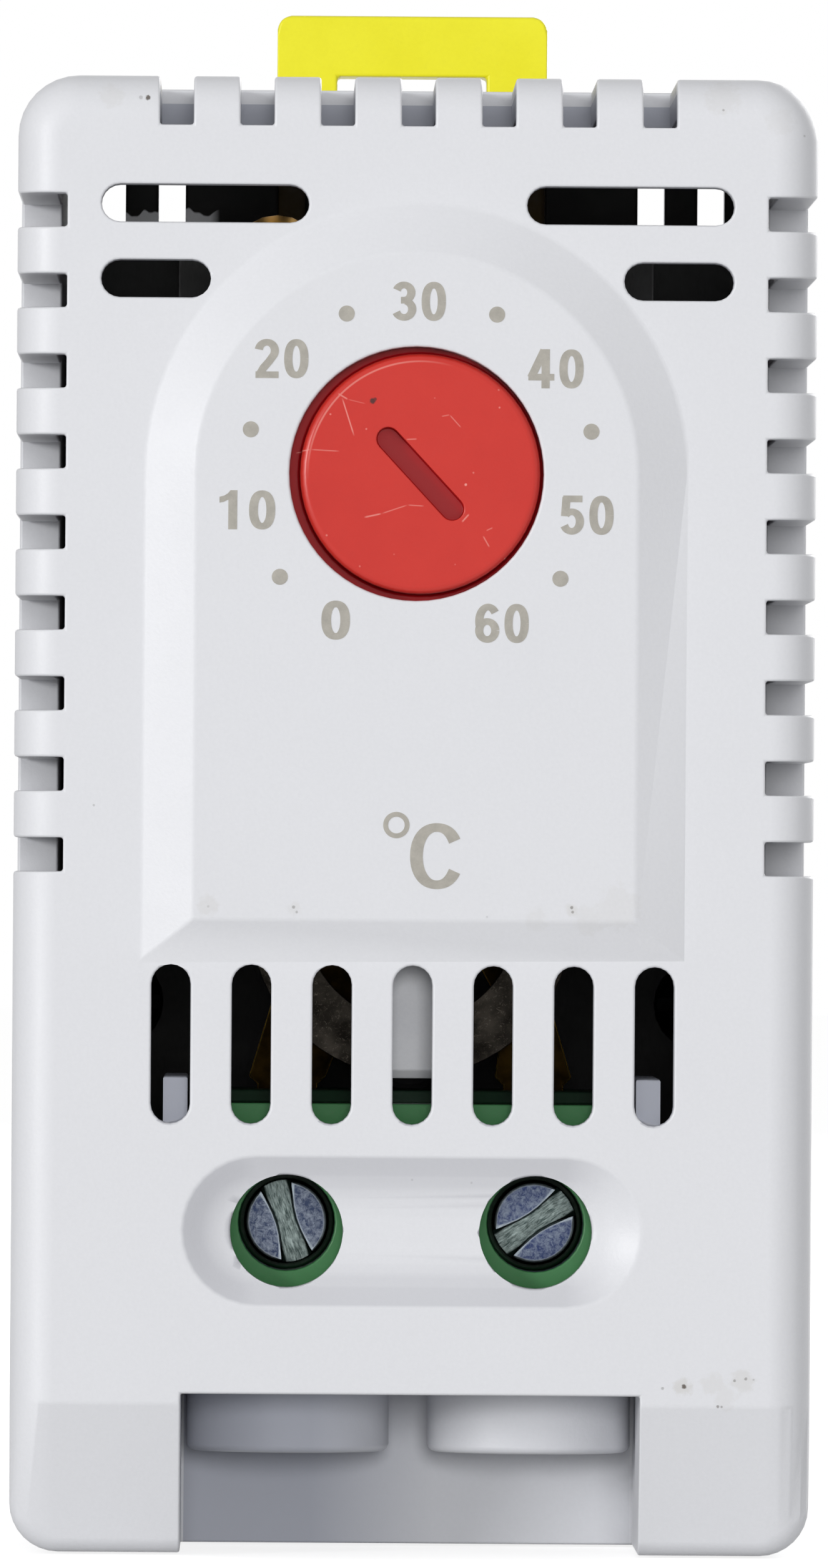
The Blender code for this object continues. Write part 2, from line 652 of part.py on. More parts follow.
def make_front_cover(material, parent):
    """Vented cover: dial panel, terminal basin, feet, wire collars and snap tongues in one moulding."""
    cover = solid("front_cover", cover_blank(), material, parent=parent)
    shape(cover, "UNION", panel_blank(), "panel")
    shape(cover, "DIFFERENCE", cover_hollow(), "hollow")
    shape(cover, "DIFFERENCE", panel_hollow(), "panel_core")
    shape(cover, "DIFFERENCE", foot_pockets(), "foot_pockets")
    cutout = bmesh.new()
    half = CUTOUT_WIDTH / 2
    add_box(cutout, (-half, PANEL_Y - CLEAR, -CLEAR), (half, PARTING_Y, CUTOUT_HEIGHT))
    shape(cover, "DIFFERENCE", cutout, "cutout")

    inside = bmesh.new()
    rib_inner = BLOCK_WIDTH / 2 + FIT
    for side in (-1, 1):
        ends = sorted((side * rib_inner, side * (rib_inner + BLOCK_RIB_THICKNESS)))
        low = (ends[0], INNER_FRONT_Y - FRONT_WALL / 4, CEILING_TOP - SIDE_WALL / 4)
        add_box(inside, low, (ends[1], INNER_FRONT_Y + BLOCK_RIB_LENGTH, BLOCK_RIB_TOP))
        add_prism(inside, "Z", side_tongue(side), TONGUE_HEIGHT - TONGUE_WIDTH / 2,
                  TONGUE_HEIGHT + TONGUE_WIDTH / 2)
        profile = [
            (COVER_REAR_Y - 2 * CLEAR, INNER_TOP - FIT - TONGUE_THICKNESS),
            (PARTING_Y + LOCATOR_REACH, INNER_TOP - FIT - TONGUE_THICKNESS),
            (PARTING_Y + LOCATOR_REACH, INNER_TOP - FIT),
            (COVER_REAR_Y, INNER_TOP - FIT),
            (COVER_REAR_Y, INNER_TOP + SIDE_WALL / 3),
            (COVER_REAR_Y - 2 * CLEAR, INNER_TOP + SIDE_WALL / 3),
        ]
        centre = side * (INNER_HALF_WIDTH - LOCATOR_MARGIN)
        add_prism(inside, "X", profile, centre - LOCATOR_WIDTH / 2, centre + LOCATOR_WIDTH / 2)
    shape(cover, "UNION", inside, "ribs_and_tongues")

    collars = bmesh.new()
    bores = bmesh.new()
    collar_y = COVER_REAR_Y - COLLAR_RADIUS - COLLAR_CHAMFER / 2
    for side in (-1, 1):
        centre = (side * COLLAR_PITCH / 2, collar_y)
        profile = [(COLLAR_RADIUS - COLLAR_CHAMFER, COLLAR_BOTTOM),
                   (COLLAR_RADIUS - COLLAR_CHAMFER / 4, COLLAR_BOTTOM + COLLAR_CHAMFER / 4),
                   (COLLAR_RADIUS, COLLAR_BOTTOM + COLLAR_CHAMFER),
                   (COLLAR_RADIUS, CUTOUT_HEIGHT + SIDE_WALL / 2)]
        add_turned(collars, "Z", centre, profile, FINE)
        add_cylinder(bores, "Z", centre, COLLAR_BORE_RADIUS, COLLAR_BOTTOM - CLEAR, CEILING_TOP + FIT)
    shape(cover, "UNION", collars, "collars")
    shape(cover, "DIFFERENCE", bores, "wire_bores")

    shape(cover, "DIFFERENCE", cover_vents(), "vents")
    shape(cover, "DIFFERENCE", terminal_basin(), "basin")
    holes = bmesh.new()
    for across in TERMINALS.values():
        centre = (across, TERMINAL_HEIGHT)
        add_cylinder(holes, "Y", centre, ACCESS_RADIUS, PANEL_Y, INNER_FRONT_Y + FIT, FINE)
    dial_centre = (0, DIAL_HEIGHT)
    add_cylinder(holes, "Y", dial_centre, DIAL_HOLE_RADIUS, PANEL_Y - CLEAR, INNER_PANEL_Y + FIT, FINE)
    shape(cover, "DIFFERENCE", holes, "holes")


def make_rear_housing(material, parent):
    """Rear housing: open-fronted box with vents, screw posts, rail hook and latch guides."""
    blank = bmesh.new()
    rings = []
    levels = ((0.0, PARTING_Y), (0.0, BACK_Y - REAR_CHAMFER), (REAR_CHAMFER / 3, BACK_Y - REAR_CHAMFER / 3),
              (REAR_CHAMFER, BACK_Y))
    for inset, along in levels:
        outline = case_outline(inset, inset, inset)
        rings.append([place("Y", across, up, along) for across, up in outline])
    add_rings(blank, rings)
    housing = solid("rear_housing", blank, material, parent=parent)

    hollow = bmesh.new()
    outline = rounded_rectangle((-INNER_HALF_WIDTH, SILL_HEIGHT), (INNER_HALF_WIDTH, INNER_TOP),
                                SIDE_WALL / 3, TOP_CORNER - SIDE_WALL, 3)
    add_prism(hollow, "Y", outline, PARTING_Y - CLEAR, INNER_BACK_Y)
    shape(housing, "DIFFERENCE", hollow, "hollow")
    pocket = bmesh.new()
    outline = rounded_rectangle((-INNER_HALF_WIDTH, SIDE_WALL), (INNER_HALF_WIDTH, SILL_HEIGHT + CLEAR),
                                SIDE_WALL / 3, SIDE_WALL / 3, 3)
    add_prism(pocket, "Y", outline, PARTING_Y + SILL_THICKNESS, INNER_BACK_Y)
    shape(housing, "DIFFERENCE", pocket, "pocket_behind_sill")

    added = bmesh.new()
    for side in (-1, 1):
        add_cylinder(added, "Y", (side * SCREW_POST_OFFSET, SCREW_POST_HEIGHT), SCREW_POST_RADIUS,
                     CARRIER_REAR_Y + FIT, INNER_BACK_Y + REAR_WALL / 2, SMALL)
        lip = [(GUIDE_INNER - GUIDE_LIP_WIDTH, LATCH_REAR_Y + FIT), (GUIDE_INNER, LATCH_REAR_Y + FIT),
               (GUIDE_INNER, BACK_Y - REAR_WALL / 2), (GUIDE_INNER + GUIDE_THICKNESS, BACK_Y - REAR_WALL / 2),
               (GUIDE_INNER + GUIDE_THICKNESS, REAR_Y), (GUIDE_INNER - GUIDE_LIP_WIDTH, REAR_Y)]
        add_prism(added, "Z", [(side * across, along) for across, along in lip], GUIDE_FOOT, GUIDE_TOP)
    half = SPRING_STOP_WIDTH / 2
    add_box(added, (-half, BACK_Y - REAR_WALL / 2, SPRING_HEAD), (half, LATCH_REAR_Y, SPRING_STOP_TOP))
    hook = [
        (BACK_Y - REAR_WALL / 2, RAIL_FOOT - RAIL_PLAY - HOOK_THICKNESS),
        (REAR_Y - HOOK_THICKNESS / 4, RAIL_FOOT - RAIL_PLAY - HOOK_THICKNESS),
        (REAR_Y, RAIL_FOOT - RAIL_PLAY - HOOK_THICKNESS * 3 / 4),
        (REAR_Y, RAIL_FOOT + LIP_OVERLAP / 2),
        (LIP_FRONT_Y + (REAR_Y - LIP_FRONT_Y) / 2, RAIL_FOOT + LIP_OVERLAP),
        (LIP_FRONT_Y, RAIL_FOOT + LIP_OVERLAP),
        (LIP_FRONT_Y, RAIL_FOOT - RAIL_PLAY),
        (BACK_Y - REAR_WALL / 2, RAIL_FOOT - RAIL_PLAY),
    ]
    add_prism(added, "X", hook, -HOOK_WIDTH / 2, HOOK_WIDTH / 2)
    shape(housing, "UNION", added, "posts_guides_and_hook")

    cut = bmesh.new()
    vent_top = CASE_HEIGHT - REAR_VENT_DROP
    for index in REAR_VENTS:
        across = index * REAR_VENT_PITCH
        add_box(cut, (across - REAR_VENT_WIDTH / 2, INNER_BACK_Y - CLEAR, vent_top - REAR_VENT_HEIGHT),
                (across + REAR_VENT_WIDTH / 2, BACK_Y + FIT / 2, vent_top))
    catch = PARTING_Y + TONGUE_REACH - TONGUE_RAMP - FIT
    reach = TONGUE_WIDTH / 2 + FIT
    for side in (-1, 1):
        ends = sorted((side * (INNER_HALF_WIDTH - FIT), side * (HALF_WIDTH + CLEAR)))
        add_box(cut, (ends[0], catch, TONGUE_HEIGHT - reach),
                (ends[1], PARTING_Y + TONGUE_REACH + FIT, TONGUE_HEIGHT + reach))
        add_cylinder(cut, "Y", (side * SCREW_POST_OFFSET, SCREW_POST_HEIGHT), CARRIER_SCREW_SHANK + FIT,
                     CARRIER_REAR_Y, CARRIER_FRONT_Y + CARRIER_SCREW_LENGTH + FIT, SMALL)
    shape(housing, "DIFFERENCE", cut, "vents_and_windows")


def make_rail_latch(material, parent, origin):
    """Sliding latch: a frame with a pull bar on top and a ramped lip that grips behind the rail."""
    half = LATCH_WIDTH / 2
    plate = bmesh.new()
    low = (-half, RAIL_TOP + RAIL_PLAY)
    outline = rounded_rectangle(low, (half, LATCH_TOP), FOOT_FILLET / 2, FOOT_FILLET, 3)
    add_prism(plate, "Y", outline, LATCH_FRONT_Y, LATCH_REAR_Y)
    latch = solid("rail_latch", plate, material, origin, parent)

    window = bmesh.new()
    inner = half - LATCH_LEG_WIDTH
    add_box(window, (-inner, BACK_Y, SPRING_FOOT), (inner, REAR_Y, LATCH_TOP - LATCH_BAR_HEIGHT))
    shape(latch, "DIFFERENCE", window, "window")

    grip = bmesh.new()
    foot = [
        (LIP_FRONT_Y, LATCH_FOOT + LIP_OVERLAP / 3),
        (LATCH_REAR_Y - LIP_OVERLAP / 2, LATCH_FOOT),
        (LATCH_REAR_Y, LATCH_FOOT + LIP_OVERLAP / 2),
        (LATCH_REAR_Y, LATCH_FOOT + LATCH_FOOT_HEIGHT),
        (LIP_FRONT_Y, LATCH_FOOT + LATCH_FOOT_HEIGHT),
    ]
    add_prism(grip, "X", foot, -half + FIT, half - FIT)
    shape(latch, "UNION", grip, "lip")
    ears = bmesh.new()
    for side in (-1, 1):
        ends = sorted((side * (half - LATCH_LEG_WIDTH / 2), side * (half + LATCH_EAR)))
        add_box(ears, (ends[0], LATCH_FRONT_Y + FIT, EAR_TOP - LATCH_EAR_HEIGHT + RAIL_PLAY),
                (ends[1], LATCH_REAR_Y - FIT, EAR_TOP))
        ends = sorted((side * (half - GUIDE_LIP_WIDTH), side * (half - FIT)))
        add_box(ears, (ends[0], LATCH_REAR_Y - LATCH_THICKNESS / 3, GUIDE_TOP + FIT),
                (ends[1], LATCH_REAR_Y + GUIDE_LIP_WIDTH - FIT, GUIDE_TOP + FIT + LATCH_EAR_HEIGHT))
    shape(latch, "UNION", ears, "stops")


def make_latch_spring(material, parent):
    """Compression spring between the latch's window and the stop on the rear housing."""
    mesh = bmesh.new()
    low = SPRING_FOOT + FIT + SPRING_WIRE_RADIUS
    high = SPRING_HEAD - FIT - SPRING_WIRE_RADIUS
    middle = (LATCH_FRONT_Y + LATCH_REAR_Y) / 2
    steps = int(SPRING_TURNS * 14)
    rings = []
    for step in range(steps + 1):
        share = step / steps
        angle = 2 * math.pi * SPRING_TURNS * share
        outward = Vector((math.cos(angle), math.sin(angle), 0))
        centre = Vector((0, middle, low + (high - low) * share)) + outward * SPRING_RADIUS
        wire = arc((0, 0), SPRING_WIRE_RADIUS, 0, 300, 5)
        rings.append([centre + outward * out + Vector((0, 0, up)) for out, up in wire])
    add_rings(mesh, rings)
    solid("latch_spring", mesh, material, parent=parent)


def clock_point(radius, clock):
    """Place on the dial's plane at a radius and a clock angle, in degrees clockwise from the top."""
    angle = math.radians(clock)
    return DIAL_OFFSET + radius * math.sin(angle), DIAL_HEIGHT + radius * math.cos(angle)


def cam_height(turn):
    """Height of the cam over the flange, at a turn in degrees clockwise from the pointer."""
    start = (360 - CAM_SWEEP) / 2
    share = min(max((turn - start) / CAM_SWEEP, 0), 1)
    return CAM_LOW_HEIGHT + CAM_RISE * share


def make_dial_knob(material, parent, origin):
    """Dial knob: slotted face, retaining flange, hub for the spindle and a rising face cam."""
    centre = (DIAL_OFFSET, DIAL_HEIGHT)
    hub_rear = FLANGE_REAR_Y + KNOB_HUB_LENGTH
    blank = bmesh.new()
    profile = [(KNOB_RADIUS - KNOB_EDGE, KNOB_FACE_Y), (KNOB_RADIUS, KNOB_FACE_Y + KNOB_EDGE),
               (KNOB_RADIUS, FLANGE_FRONT_Y), (KNOB_FLANGE_RADIUS, FLANGE_FRONT_Y),
               (KNOB_FLANGE_RADIUS, FLANGE_REAR_Y), (KNOB_HUB_RADIUS, FLANGE_REAR_Y),
               (KNOB_HUB_RADIUS, hub_rear)]
    add_turned(blank, "Y", centre, profile, FINE)
    knob = solid("dial_knob", blank, material, origin, parent)

    cam = bmesh.new()
    margin = 10
    start = (360 - CAM_SWEEP) / 2 - margin
    sweep = CAM_SWEEP + 2 * margin
    rings = []
    for step in range(ROUND + 1):
        turn = start + sweep * step / ROUND
        ring = []
        for radius, along in ((CAM_INNER_RADIUS, FLANGE_REAR_Y - FIT),
                              (CAM_OUTER_RADIUS, FLANGE_REAR_Y - FIT),
                              (CAM_OUTER_RADIUS, FLANGE_REAR_Y + cam_height(turn)),
                              (CAM_INNER_RADIUS, FLANGE_REAR_Y + cam_height(turn))):
            across, up = clock_point(radius, POINTER_ANGLE + turn)
            ring.append(place("Y", across, up, along))
        rings.append(ring)
    add_rings(cam, rings)
    shape(knob, "UNION", cam, "cam")

    cut = bmesh.new()
    corners = stadium((0, 0), KNOB_SLOT_LENGTH, KNOB_SLOT_WIDTH, upright=True)
    outline = turned_outline(corners, centre, POINTER_ANGLE)
    add_prism(cut, "Y", outline, KNOB_FACE_Y - CLEAR, KNOB_FACE_Y + KNOB_SLOT_DEPTH)
    add_cylinder(cut, "Y", centre, SPINDLE_RADIUS + FIT, KNOB_FACE_Y + 1.5 * KNOB_SLOT_DEPTH,
                 hub_rear + CLEAR)
    shape(knob, "DIFFERENCE", cut, "slot_and_bore")


def make_spindle(material, parent, origin):
    """Spindle pressed into the knob, with a chamfered tail that runs in the bush."""
    mesh = bmesh.new()
    front = KNOB_FACE_Y + 1.5 * KNOB_SLOT_DEPTH + FIT
    rear = front + SPINDLE_LENGTH
    chamfer = SPINDLE_RADIUS / 4
    profile = [(SPINDLE_RADIUS, front), (SPINDLE_RADIUS, rear - chamfer), (SPINDLE_RADIUS - chamfer, rear)]
    add_turned(mesh, "Y", (DIAL_OFFSET, DIAL_HEIGHT), profile, SMALL)
    solid("dial_spindle", mesh, material, origin, parent)


def make_bush(material, parent):
    """Flanged bush in the carrier's bridge, in which the spindle turns."""
    mesh = bmesh.new()
    front = BRIDGE_FRONT_Y - FIT - BUSH_FLANGE_THICKNESS
    rear = BRIDGE_REAR_Y + BUSH_TAIL
    bore = SPINDLE_RADIUS + FIT
    profile = [(BUSH_FLANGE_RADIUS, front), (BUSH_FLANGE_RADIUS, BRIDGE_FRONT_Y - FIT),
               (BUSH_RADIUS, BRIDGE_FRONT_Y - FIT), (BUSH_RADIUS, rear), (bore, rear), (bore, front)]
    add_turned(mesh, "Y", (DIAL_OFFSET, DIAL_HEIGHT), profile, ROUND, hollow=True)
    solid("spindle_bush", mesh, material, parent=parent)


def make_setting_lever(material, parent, origin):
    """Lever that carries the knob's cam height down to the bimetal blade."""
    half = LEVER_WIDTH / 2
    top = FOLLOWER_HEIGHT + LEVER_HEAD
    rest_turn = 180 - POINTER_ANGLE
    follower_y = FLANGE_REAR_Y + cam_height(rest_turn) + FIT
    nose = LEVER_HEAD
    profile = [
        (LEVER_FRONT_Y, LEVER_TOE_HEIGHT + nose / 2),
        (LEVER_FRONT_Y + nose / 2, LEVER_TOE_HEIGHT),
        (LEVER_REAR_Y, LEVER_TOE_HEIGHT),
        (LEVER_REAR_Y + LEVER_NOSE_LENGTH, LEVER_TOE_HEIGHT + nose),
        (LEVER_REAR_Y + LEVER_NOSE_LENGTH, LEVER_TOE_HEIGHT + 2 * nose),
        (LEVER_REAR_Y, LEVER_TOE_HEIGHT + 3 * nose),
        (LEVER_REAR_Y, top),
        (follower_y + nose / 2, top),
        (follower_y, FOLLOWER_HEIGHT + nose / 3),
        (follower_y, FOLLOWER_HEIGHT - nose / 3),
        (follower_y + nose / 2, FOLLOWER_HEIGHT - nose),
        (LEVER_FRONT_Y, FOLLOWER_HEIGHT - 2 * nose),
    ]
    blade = bmesh.new()
    add_prism(blade, "X", profile, -half, half)
    lever = solid("setting_lever", blade, material, origin, parent)
    hub = bmesh.new()
    pivot = (LEVER_PIVOT_Y, LEVER_PIVOT_HEIGHT)
    add_cylinder(hub, "X", pivot, LEVER_HUB_RADIUS, -half + FIT / 3, half - FIT / 3, SMALL)
    shape(lever, "UNION", hub, "hub")
    bore = bmesh.new()
    add_cylinder(bore, "X", pivot, PIN_RADIUS + FIT, -half - CLEAR, half + CLEAR, SMALL)
    shape(lever, "DIFFERENCE", bore, "bore")


def ear_faces():
    """Inner and outer distance from the middle of the carrier's two pivot ears."""
    inner = LEVER_WIDTH / 2 + 2 * FIT
    return inner, inner + BRIDGE_THICKNESS


def make_switch_carrier(material, parent):
    """Moulded carrier: back plate, side rails, bridge for the bush, pivot ears and contact bosses."""
    half = INNER_HALF_WIDTH - CARRIER_SIDE_GAP
    plate = bmesh.new()
    outline = rounded_rectangle((-half, CARRIER_FOOT), (half, CARRIER_TOP), SIDE_WALL / 2, SIDE_WALL, 3)
    add_prism(plate, "Y", outline, CARRIER_FRONT_Y, CARRIER_REAR_Y)
    carrier = solid("switch_carrier", plate, material, parent=parent)

    root = CARRIER_FRONT_Y + CARRIER_PLATE / 2
    rail_foot = BIMETAL_BEND_HEIGHT + BIMETAL_BORE / 4
    ear_inner, ear_outer = ear_faces()
    ear_foot = LEVER_PIVOT_HEIGHT - LEVER_HUB_RADIUS
    ear_front = LEVER_PIVOT_Y - LEVER_HUB_RADIUS

    rails = bmesh.new()
    for side in (-1, 1):
        ends = sorted((side * CARRIER_RAIL_INNER, side * CARRIER_RAIL_OUTER))
        add_box(rails, (ends[0], BRIDGE_FRONT_Y, rail_foot), (ends[1], root, CARRIER_TOP))
        ends = sorted((side * TERMINAL_PITCH * 0.42, side * TERMINAL_PITCH * 0.58))
        add_box(rails, (ends[0], BLOCK_REAR_Y + FIT, CARRIER_FOOT + FIT), (ends[1], root, BLOCK_TOP - FIT))
    shape(carrier, "UNION", rails, "rails")

    bridge = bmesh.new()
    add_box(bridge, (-CARRIER_RAIL_OUTER + FIT, BRIDGE_FRONT_Y + FIT / 10, BRIDGE_FOOT),
            (CARRIER_RAIL_OUTER - FIT, BRIDGE_REAR_Y, CARRIER_TOP - FIT))
    shape(carrier, "UNION", bridge, "bridge")

    ears = bmesh.new()
    for side in (-1, 1):
        profile = [(ear_front, ear_foot), (BRIDGE_REAR_Y - FIT / 10, ear_foot),
                   (BRIDGE_REAR_Y - FIT / 10, BRIDGE_FOOT + FIT), (BRIDGE_FRONT_Y + FIT, BRIDGE_FOOT + FIT),
                   (BRIDGE_FRONT_Y + FIT, LEVER_PIVOT_HEIGHT + LEVER_HUB_RADIUS),
                   (ear_front, LEVER_PIVOT_HEIGHT + LEVER_HUB_RADIUS)]
        ends = sorted((side * ear_inner, side * ear_outer))
        add_prism(ears, "X", profile, ends[0], ends[1])
    shape(carrier, "UNION", ears, "pivot_ears")

    bosses = bmesh.new()
    arm_side = ARM_WIDTH / 2
    add_box(bosses, (ARM_RIVET_OFFSET - BOSS_RADIUS, ARM_REAR_Y + FIT, ARM_ROOT_HEIGHT - BOSS_RADIUS),
            (ARM_RIVET_OFFSET + BOSS_RADIUS, root, ARM_ROOT_HEIGHT + BOSS_RADIUS))
    add_box(bosses, (-arm_side - 2 * TAB_HALF_HEIGHT, STRAP_REAR_Y + FIT, CONTACT_HEIGHT - TAB_HALF_HEIGHT),
            (-arm_side - 2 * FIT, root, CONTACT_HEIGHT + TAB_HALF_HEIGHT))
    magnet_rear = MAGNET_Y + MAGNET_LENGTH + FIT
    add_box(bosses, (-MAGNET_RADIUS, magnet_rear, PUSH_PIN_HEIGHT - MAGNET_RADIUS * 0.8),
            (MAGNET_RADIUS, root, PUSH_PIN_HEIGHT + MAGNET_RADIUS * 0.8))
    shape(carrier, "UNION", bosses, "contact_bosses")

    cut = bmesh.new()
    add_cylinder(cut, "Y", (DIAL_OFFSET, DIAL_HEIGHT), BUSH_RADIUS + FIT, BRIDGE_FRONT_Y - CLEAR,
                 BRIDGE_REAR_Y + CLEAR)
    for side in (-1, 1):
        add_cylinder(cut, "Y", (side * BLADE_RIVET_OFFSET, BLADE_RIVET_HEIGHT), RIVET_SHANK_RADIUS + FIT,
                     BRIDGE_FRONT_Y - CLEAR, BRIDGE_REAR_Y + CLEAR, SMALL)
        add_cylinder(cut, "Y", (side * SCREW_POST_OFFSET, SCREW_POST_HEIGHT), CARRIER_SCREW_SHANK + FIT,
                     CARRIER_FRONT_Y - CLEAR, CARRIER_REAR_Y + CLEAR, SMALL)
    add_cylinder(cut, "Y", (CALIBRATION_OFFSET, CALIBRATION_HEIGHT), RIVET_SHANK_RADIUS + FIT,
                 BRIDGE_FRONT_Y - CLEAR, BRIDGE_REAR_Y + CLEAR, SMALL)
    add_cylinder(cut, "Y", (ARM_RIVET_OFFSET, ARM_ROOT_HEIGHT), RIVET_SHANK_RADIUS + FIT,
                 ARM_REAR_Y, ARM_REAR_Y + CLEAR, SMALL)
    add_cylinder(cut, "X", (LEVER_PIVOT_Y, LEVER_PIVOT_HEIGHT), PIN_RADIUS + FIT,
                 -ear_outer - CLEAR, ear_outer + CLEAR, SMALL)
    shape(carrier, "DIFFERENCE", cut, "holes")


def make_pivot_pin(material, parent):
    """Pin on which the setting lever tilts."""
    mesh = bmesh.new()
    reach = ear_faces()[1] + FIT
    chamfer = PIN_RADIUS / 4
    profile = [(PIN_RADIUS - chamfer, -reach), (PIN_RADIUS, chamfer - reach), (PIN_RADIUS, reach - chamfer),
               (PIN_RADIUS - chamfer, reach)]
    add_turned(mesh, "X", (LEVER_PIVOT_Y, LEVER_PIVOT_HEIGHT), profile, SMALL)
    solid("lever_pin", mesh, material, parent=parent)


def make_bimetal(material, parent):
    """U-shaped bimetal blade: two arms from the bridge, and a bend that moves with temperature."""
    mesh = bmesh.new()
    bend = (0, BIMETAL_BEND_HEIGHT)
    top = BLADE_RIVET_HEIGHT + RIVET_EDGE
    outline = [(-BIMETAL_RADIUS, top)] + arc(bend, BIMETAL_RADIUS, 180, 360, ROUND)
    outline += [(BIMETAL_RADIUS, top), (BIMETAL_BORE, top)] + arc(bend, BIMETAL_BORE, 360, 180, ROUND)
    outline.append((-BIMETAL_BORE, top))
    add_prism(mesh, "Y", outline, BIMETAL_FRONT_Y, BIMETAL_REAR_Y)
    blade = solid("bimetal_blade", mesh, material, parent=parent)
    holes = bmesh.new()
    for side in (-1, 1):
        add_cylinder(holes, "Y", (side * BLADE_RIVET_OFFSET, BLADE_RIVET_HEIGHT), RIVET_SHANK_RADIUS + FIT,
                     BIMETAL_FRONT_Y - CLEAR, BIMETAL_REAR_Y + CLEAR, SMALL)
    shape(blade, "DIFFERENCE", holes, "rivet_holes")


def make_rivets(material, parent):
    """Two rivets that hold the bimetal blade, and the long one that holds the contact arm's root."""
    head = RIVET_HEAD_RADIUS
    shank = RIVET_SHANK_RADIUS
    for name, side in (("left", -1), ("right", 1)):
        mesh = bmesh.new()
        front = BRIDGE_FRONT_Y - FIT
        rear = BIMETAL_REAR_Y + FIT / 3
        profile = [(head / 2, front - RIVET_HEAD), (head, front - RIVET_HEAD / 3), (head, front),
                   (shank, front),
                   (shank, rear), (shank + 2 * FIT, rear), (shank, rear + FIT)]
        add_turned(mesh, "Y", (side * BLADE_RIVET_OFFSET, BLADE_RIVET_HEIGHT), profile, SMALL)
        solid(f"blade_rivet_{name}", mesh, material, parent=parent)
    mesh = bmesh.new()
    front = STRAP_Y - FIT
    spacer = RIVET_HEAD_RADIUS
    profile = [(spacer / 2, front - RIVET_HEAD), (spacer, front - RIVET_HEAD / 3), (spacer, front),
               (shank, front), (shank, STRAP_REAR_Y + FIT), (spacer, STRAP_REAR_Y + FIT),
               (spacer, ARM_Y - FIT), (shank, ARM_Y - FIT), (shank, ARM_REAR_Y + CLEAR - FIT)]
    add_turned(mesh, "Y", (ARM_RIVET_OFFSET, ARM_ROOT_HEIGHT), profile, SMALL)
    solid("arm_rivet", mesh, material, parent=parent)


def strap_foot(across):
    """Outline points of a strap's bar inside the terminal block, from its left to its right shoulder."""
    bar = BAR_WIDTH / 2
    wide = STRAP_WIDTH / 2
    foot = BORE_HEIGHT - CAGE_HEIGHT / 2 - 4 * FIT
    shoulder = BLOCK_TOP + 2 * BLOCK_STEP
    return [(across - wide, shoulder), (across - bar, shoulder - FIT), (across - bar, foot),
            (across + bar, foot),
            (across + bar, shoulder - FIT), (across + wide, shoulder)]


def make_straps(material, parent):
    """Flat brass straps from each terminal: the left ends in a contact tab, the right at the arm's root."""
    tab = ARM_WIDTH / 2
    tab_foot = CONTACT_HEIGHT - TAB_HALF_HEIGHT
    tab_top = CONTACT_HEIGHT + TAB_HALF_HEIGHT
    shoulder = BLOCK_TOP + 2 * BLOCK_STEP
    left = TERMINALS["left"]
    outline = strap_foot(left) + [(-tab - 3 * FIT, tab_foot), (tab, tab_foot), (tab, tab_top),
                                  (left - STRAP_WIDTH / 2 + STRAP_SLOPE * (tab_top - shoulder), tab_top)]
    mesh = bmesh.new()
    add_prism(mesh, "Y", outline, STRAP_Y, STRAP_REAR_Y)
    strap = solid("contact_strap_left", mesh, material, parent=parent)
    hole = bmesh.new()
    add_cylinder(hole, "Y", (0, CONTACT_HEIGHT), RIVET_SHANK_RADIUS + FIT,
                 STRAP_Y - CLEAR, STRAP_REAR_Y + CLEAR, SMALL)
    shape(strap, "DIFFERENCE", hole, "rivet_hole")

    right = TERMINALS["right"]
    top = ARM_ROOT_HEIGHT + RIVET_EDGE
    outer = ARM_RIVET_OFFSET + RIVET_EDGE
    inner = ARM_RIVET_OFFSET - RIVET_EDGE
    bend = shoulder + (right + STRAP_WIDTH / 2 - outer) / STRAP_SLOPE
    outline = strap_foot(right) + [(outer, bend), (outer, top), (inner, top), (inner, tab_top + 3 * FIT),
                                   (right - BAR_WIDTH / 2, tab_foot)]
    mesh = bmesh.new()
    add_prism(mesh, "Y", outline, STRAP_Y, STRAP_REAR_Y)
    strap = solid("contact_strap_right", mesh, material, parent=parent)
    hole = bmesh.new()
    add_cylinder(hole, "Y", (ARM_RIVET_OFFSET, ARM_ROOT_HEIGHT), RIVET_SHANK_RADIUS + FIT,
                 STRAP_Y - CLEAR, STRAP_REAR_Y + CLEAR, SMALL)
    shape(strap, "DIFFERENCE", hole, "rivet_hole")


def make_contacts(silver, parent, arm_frame, arm_origin):
    """Fixed contact on the left strap and moving contact on the arm, face to face."""
    shank = RIVET_SHANK_RADIUS
    edge = CONTACT_RADIUS / 6
    head = STRAP_REAR_Y + FIT
    mesh = bmesh.new()
    profile = [(shank * 1.5, STRAP_Y - FIT * 1.8), (shank * 1.5, STRAP_Y - FIT), (shank, STRAP_Y - FIT),
               (shank, head), (CONTACT_RADIUS, head), (CONTACT_RADIUS, head + CONTACT_HEAD - edge),
               (CONTACT_RADIUS - edge, head + CONTACT_HEAD)]
    add_turned(mesh, "Y", (0, CONTACT_HEIGHT), profile, SMALL)
    solid("fixed_contact", mesh, silver, parent=parent)
    head = ARM_Y - FIT
    mesh = bmesh.new()
    profile = [(CONTACT_RADIUS - edge, head - CONTACT_HEAD), (CONTACT_RADIUS, head - CONTACT_HEAD + edge),
               (CONTACT_RADIUS, head), (shank, head), (shank, ARM_REAR_Y + FIT),
               (shank * 1.5, ARM_REAR_Y + FIT),
               (shank * 1.5, ARM_REAR_Y + FIT * 1.8)]
    add_turned(mesh, "Y", (0, CONTACT_HEIGHT), profile, SMALL)
    solid("moving_contact", mesh, silver, arm_origin, arm_frame)


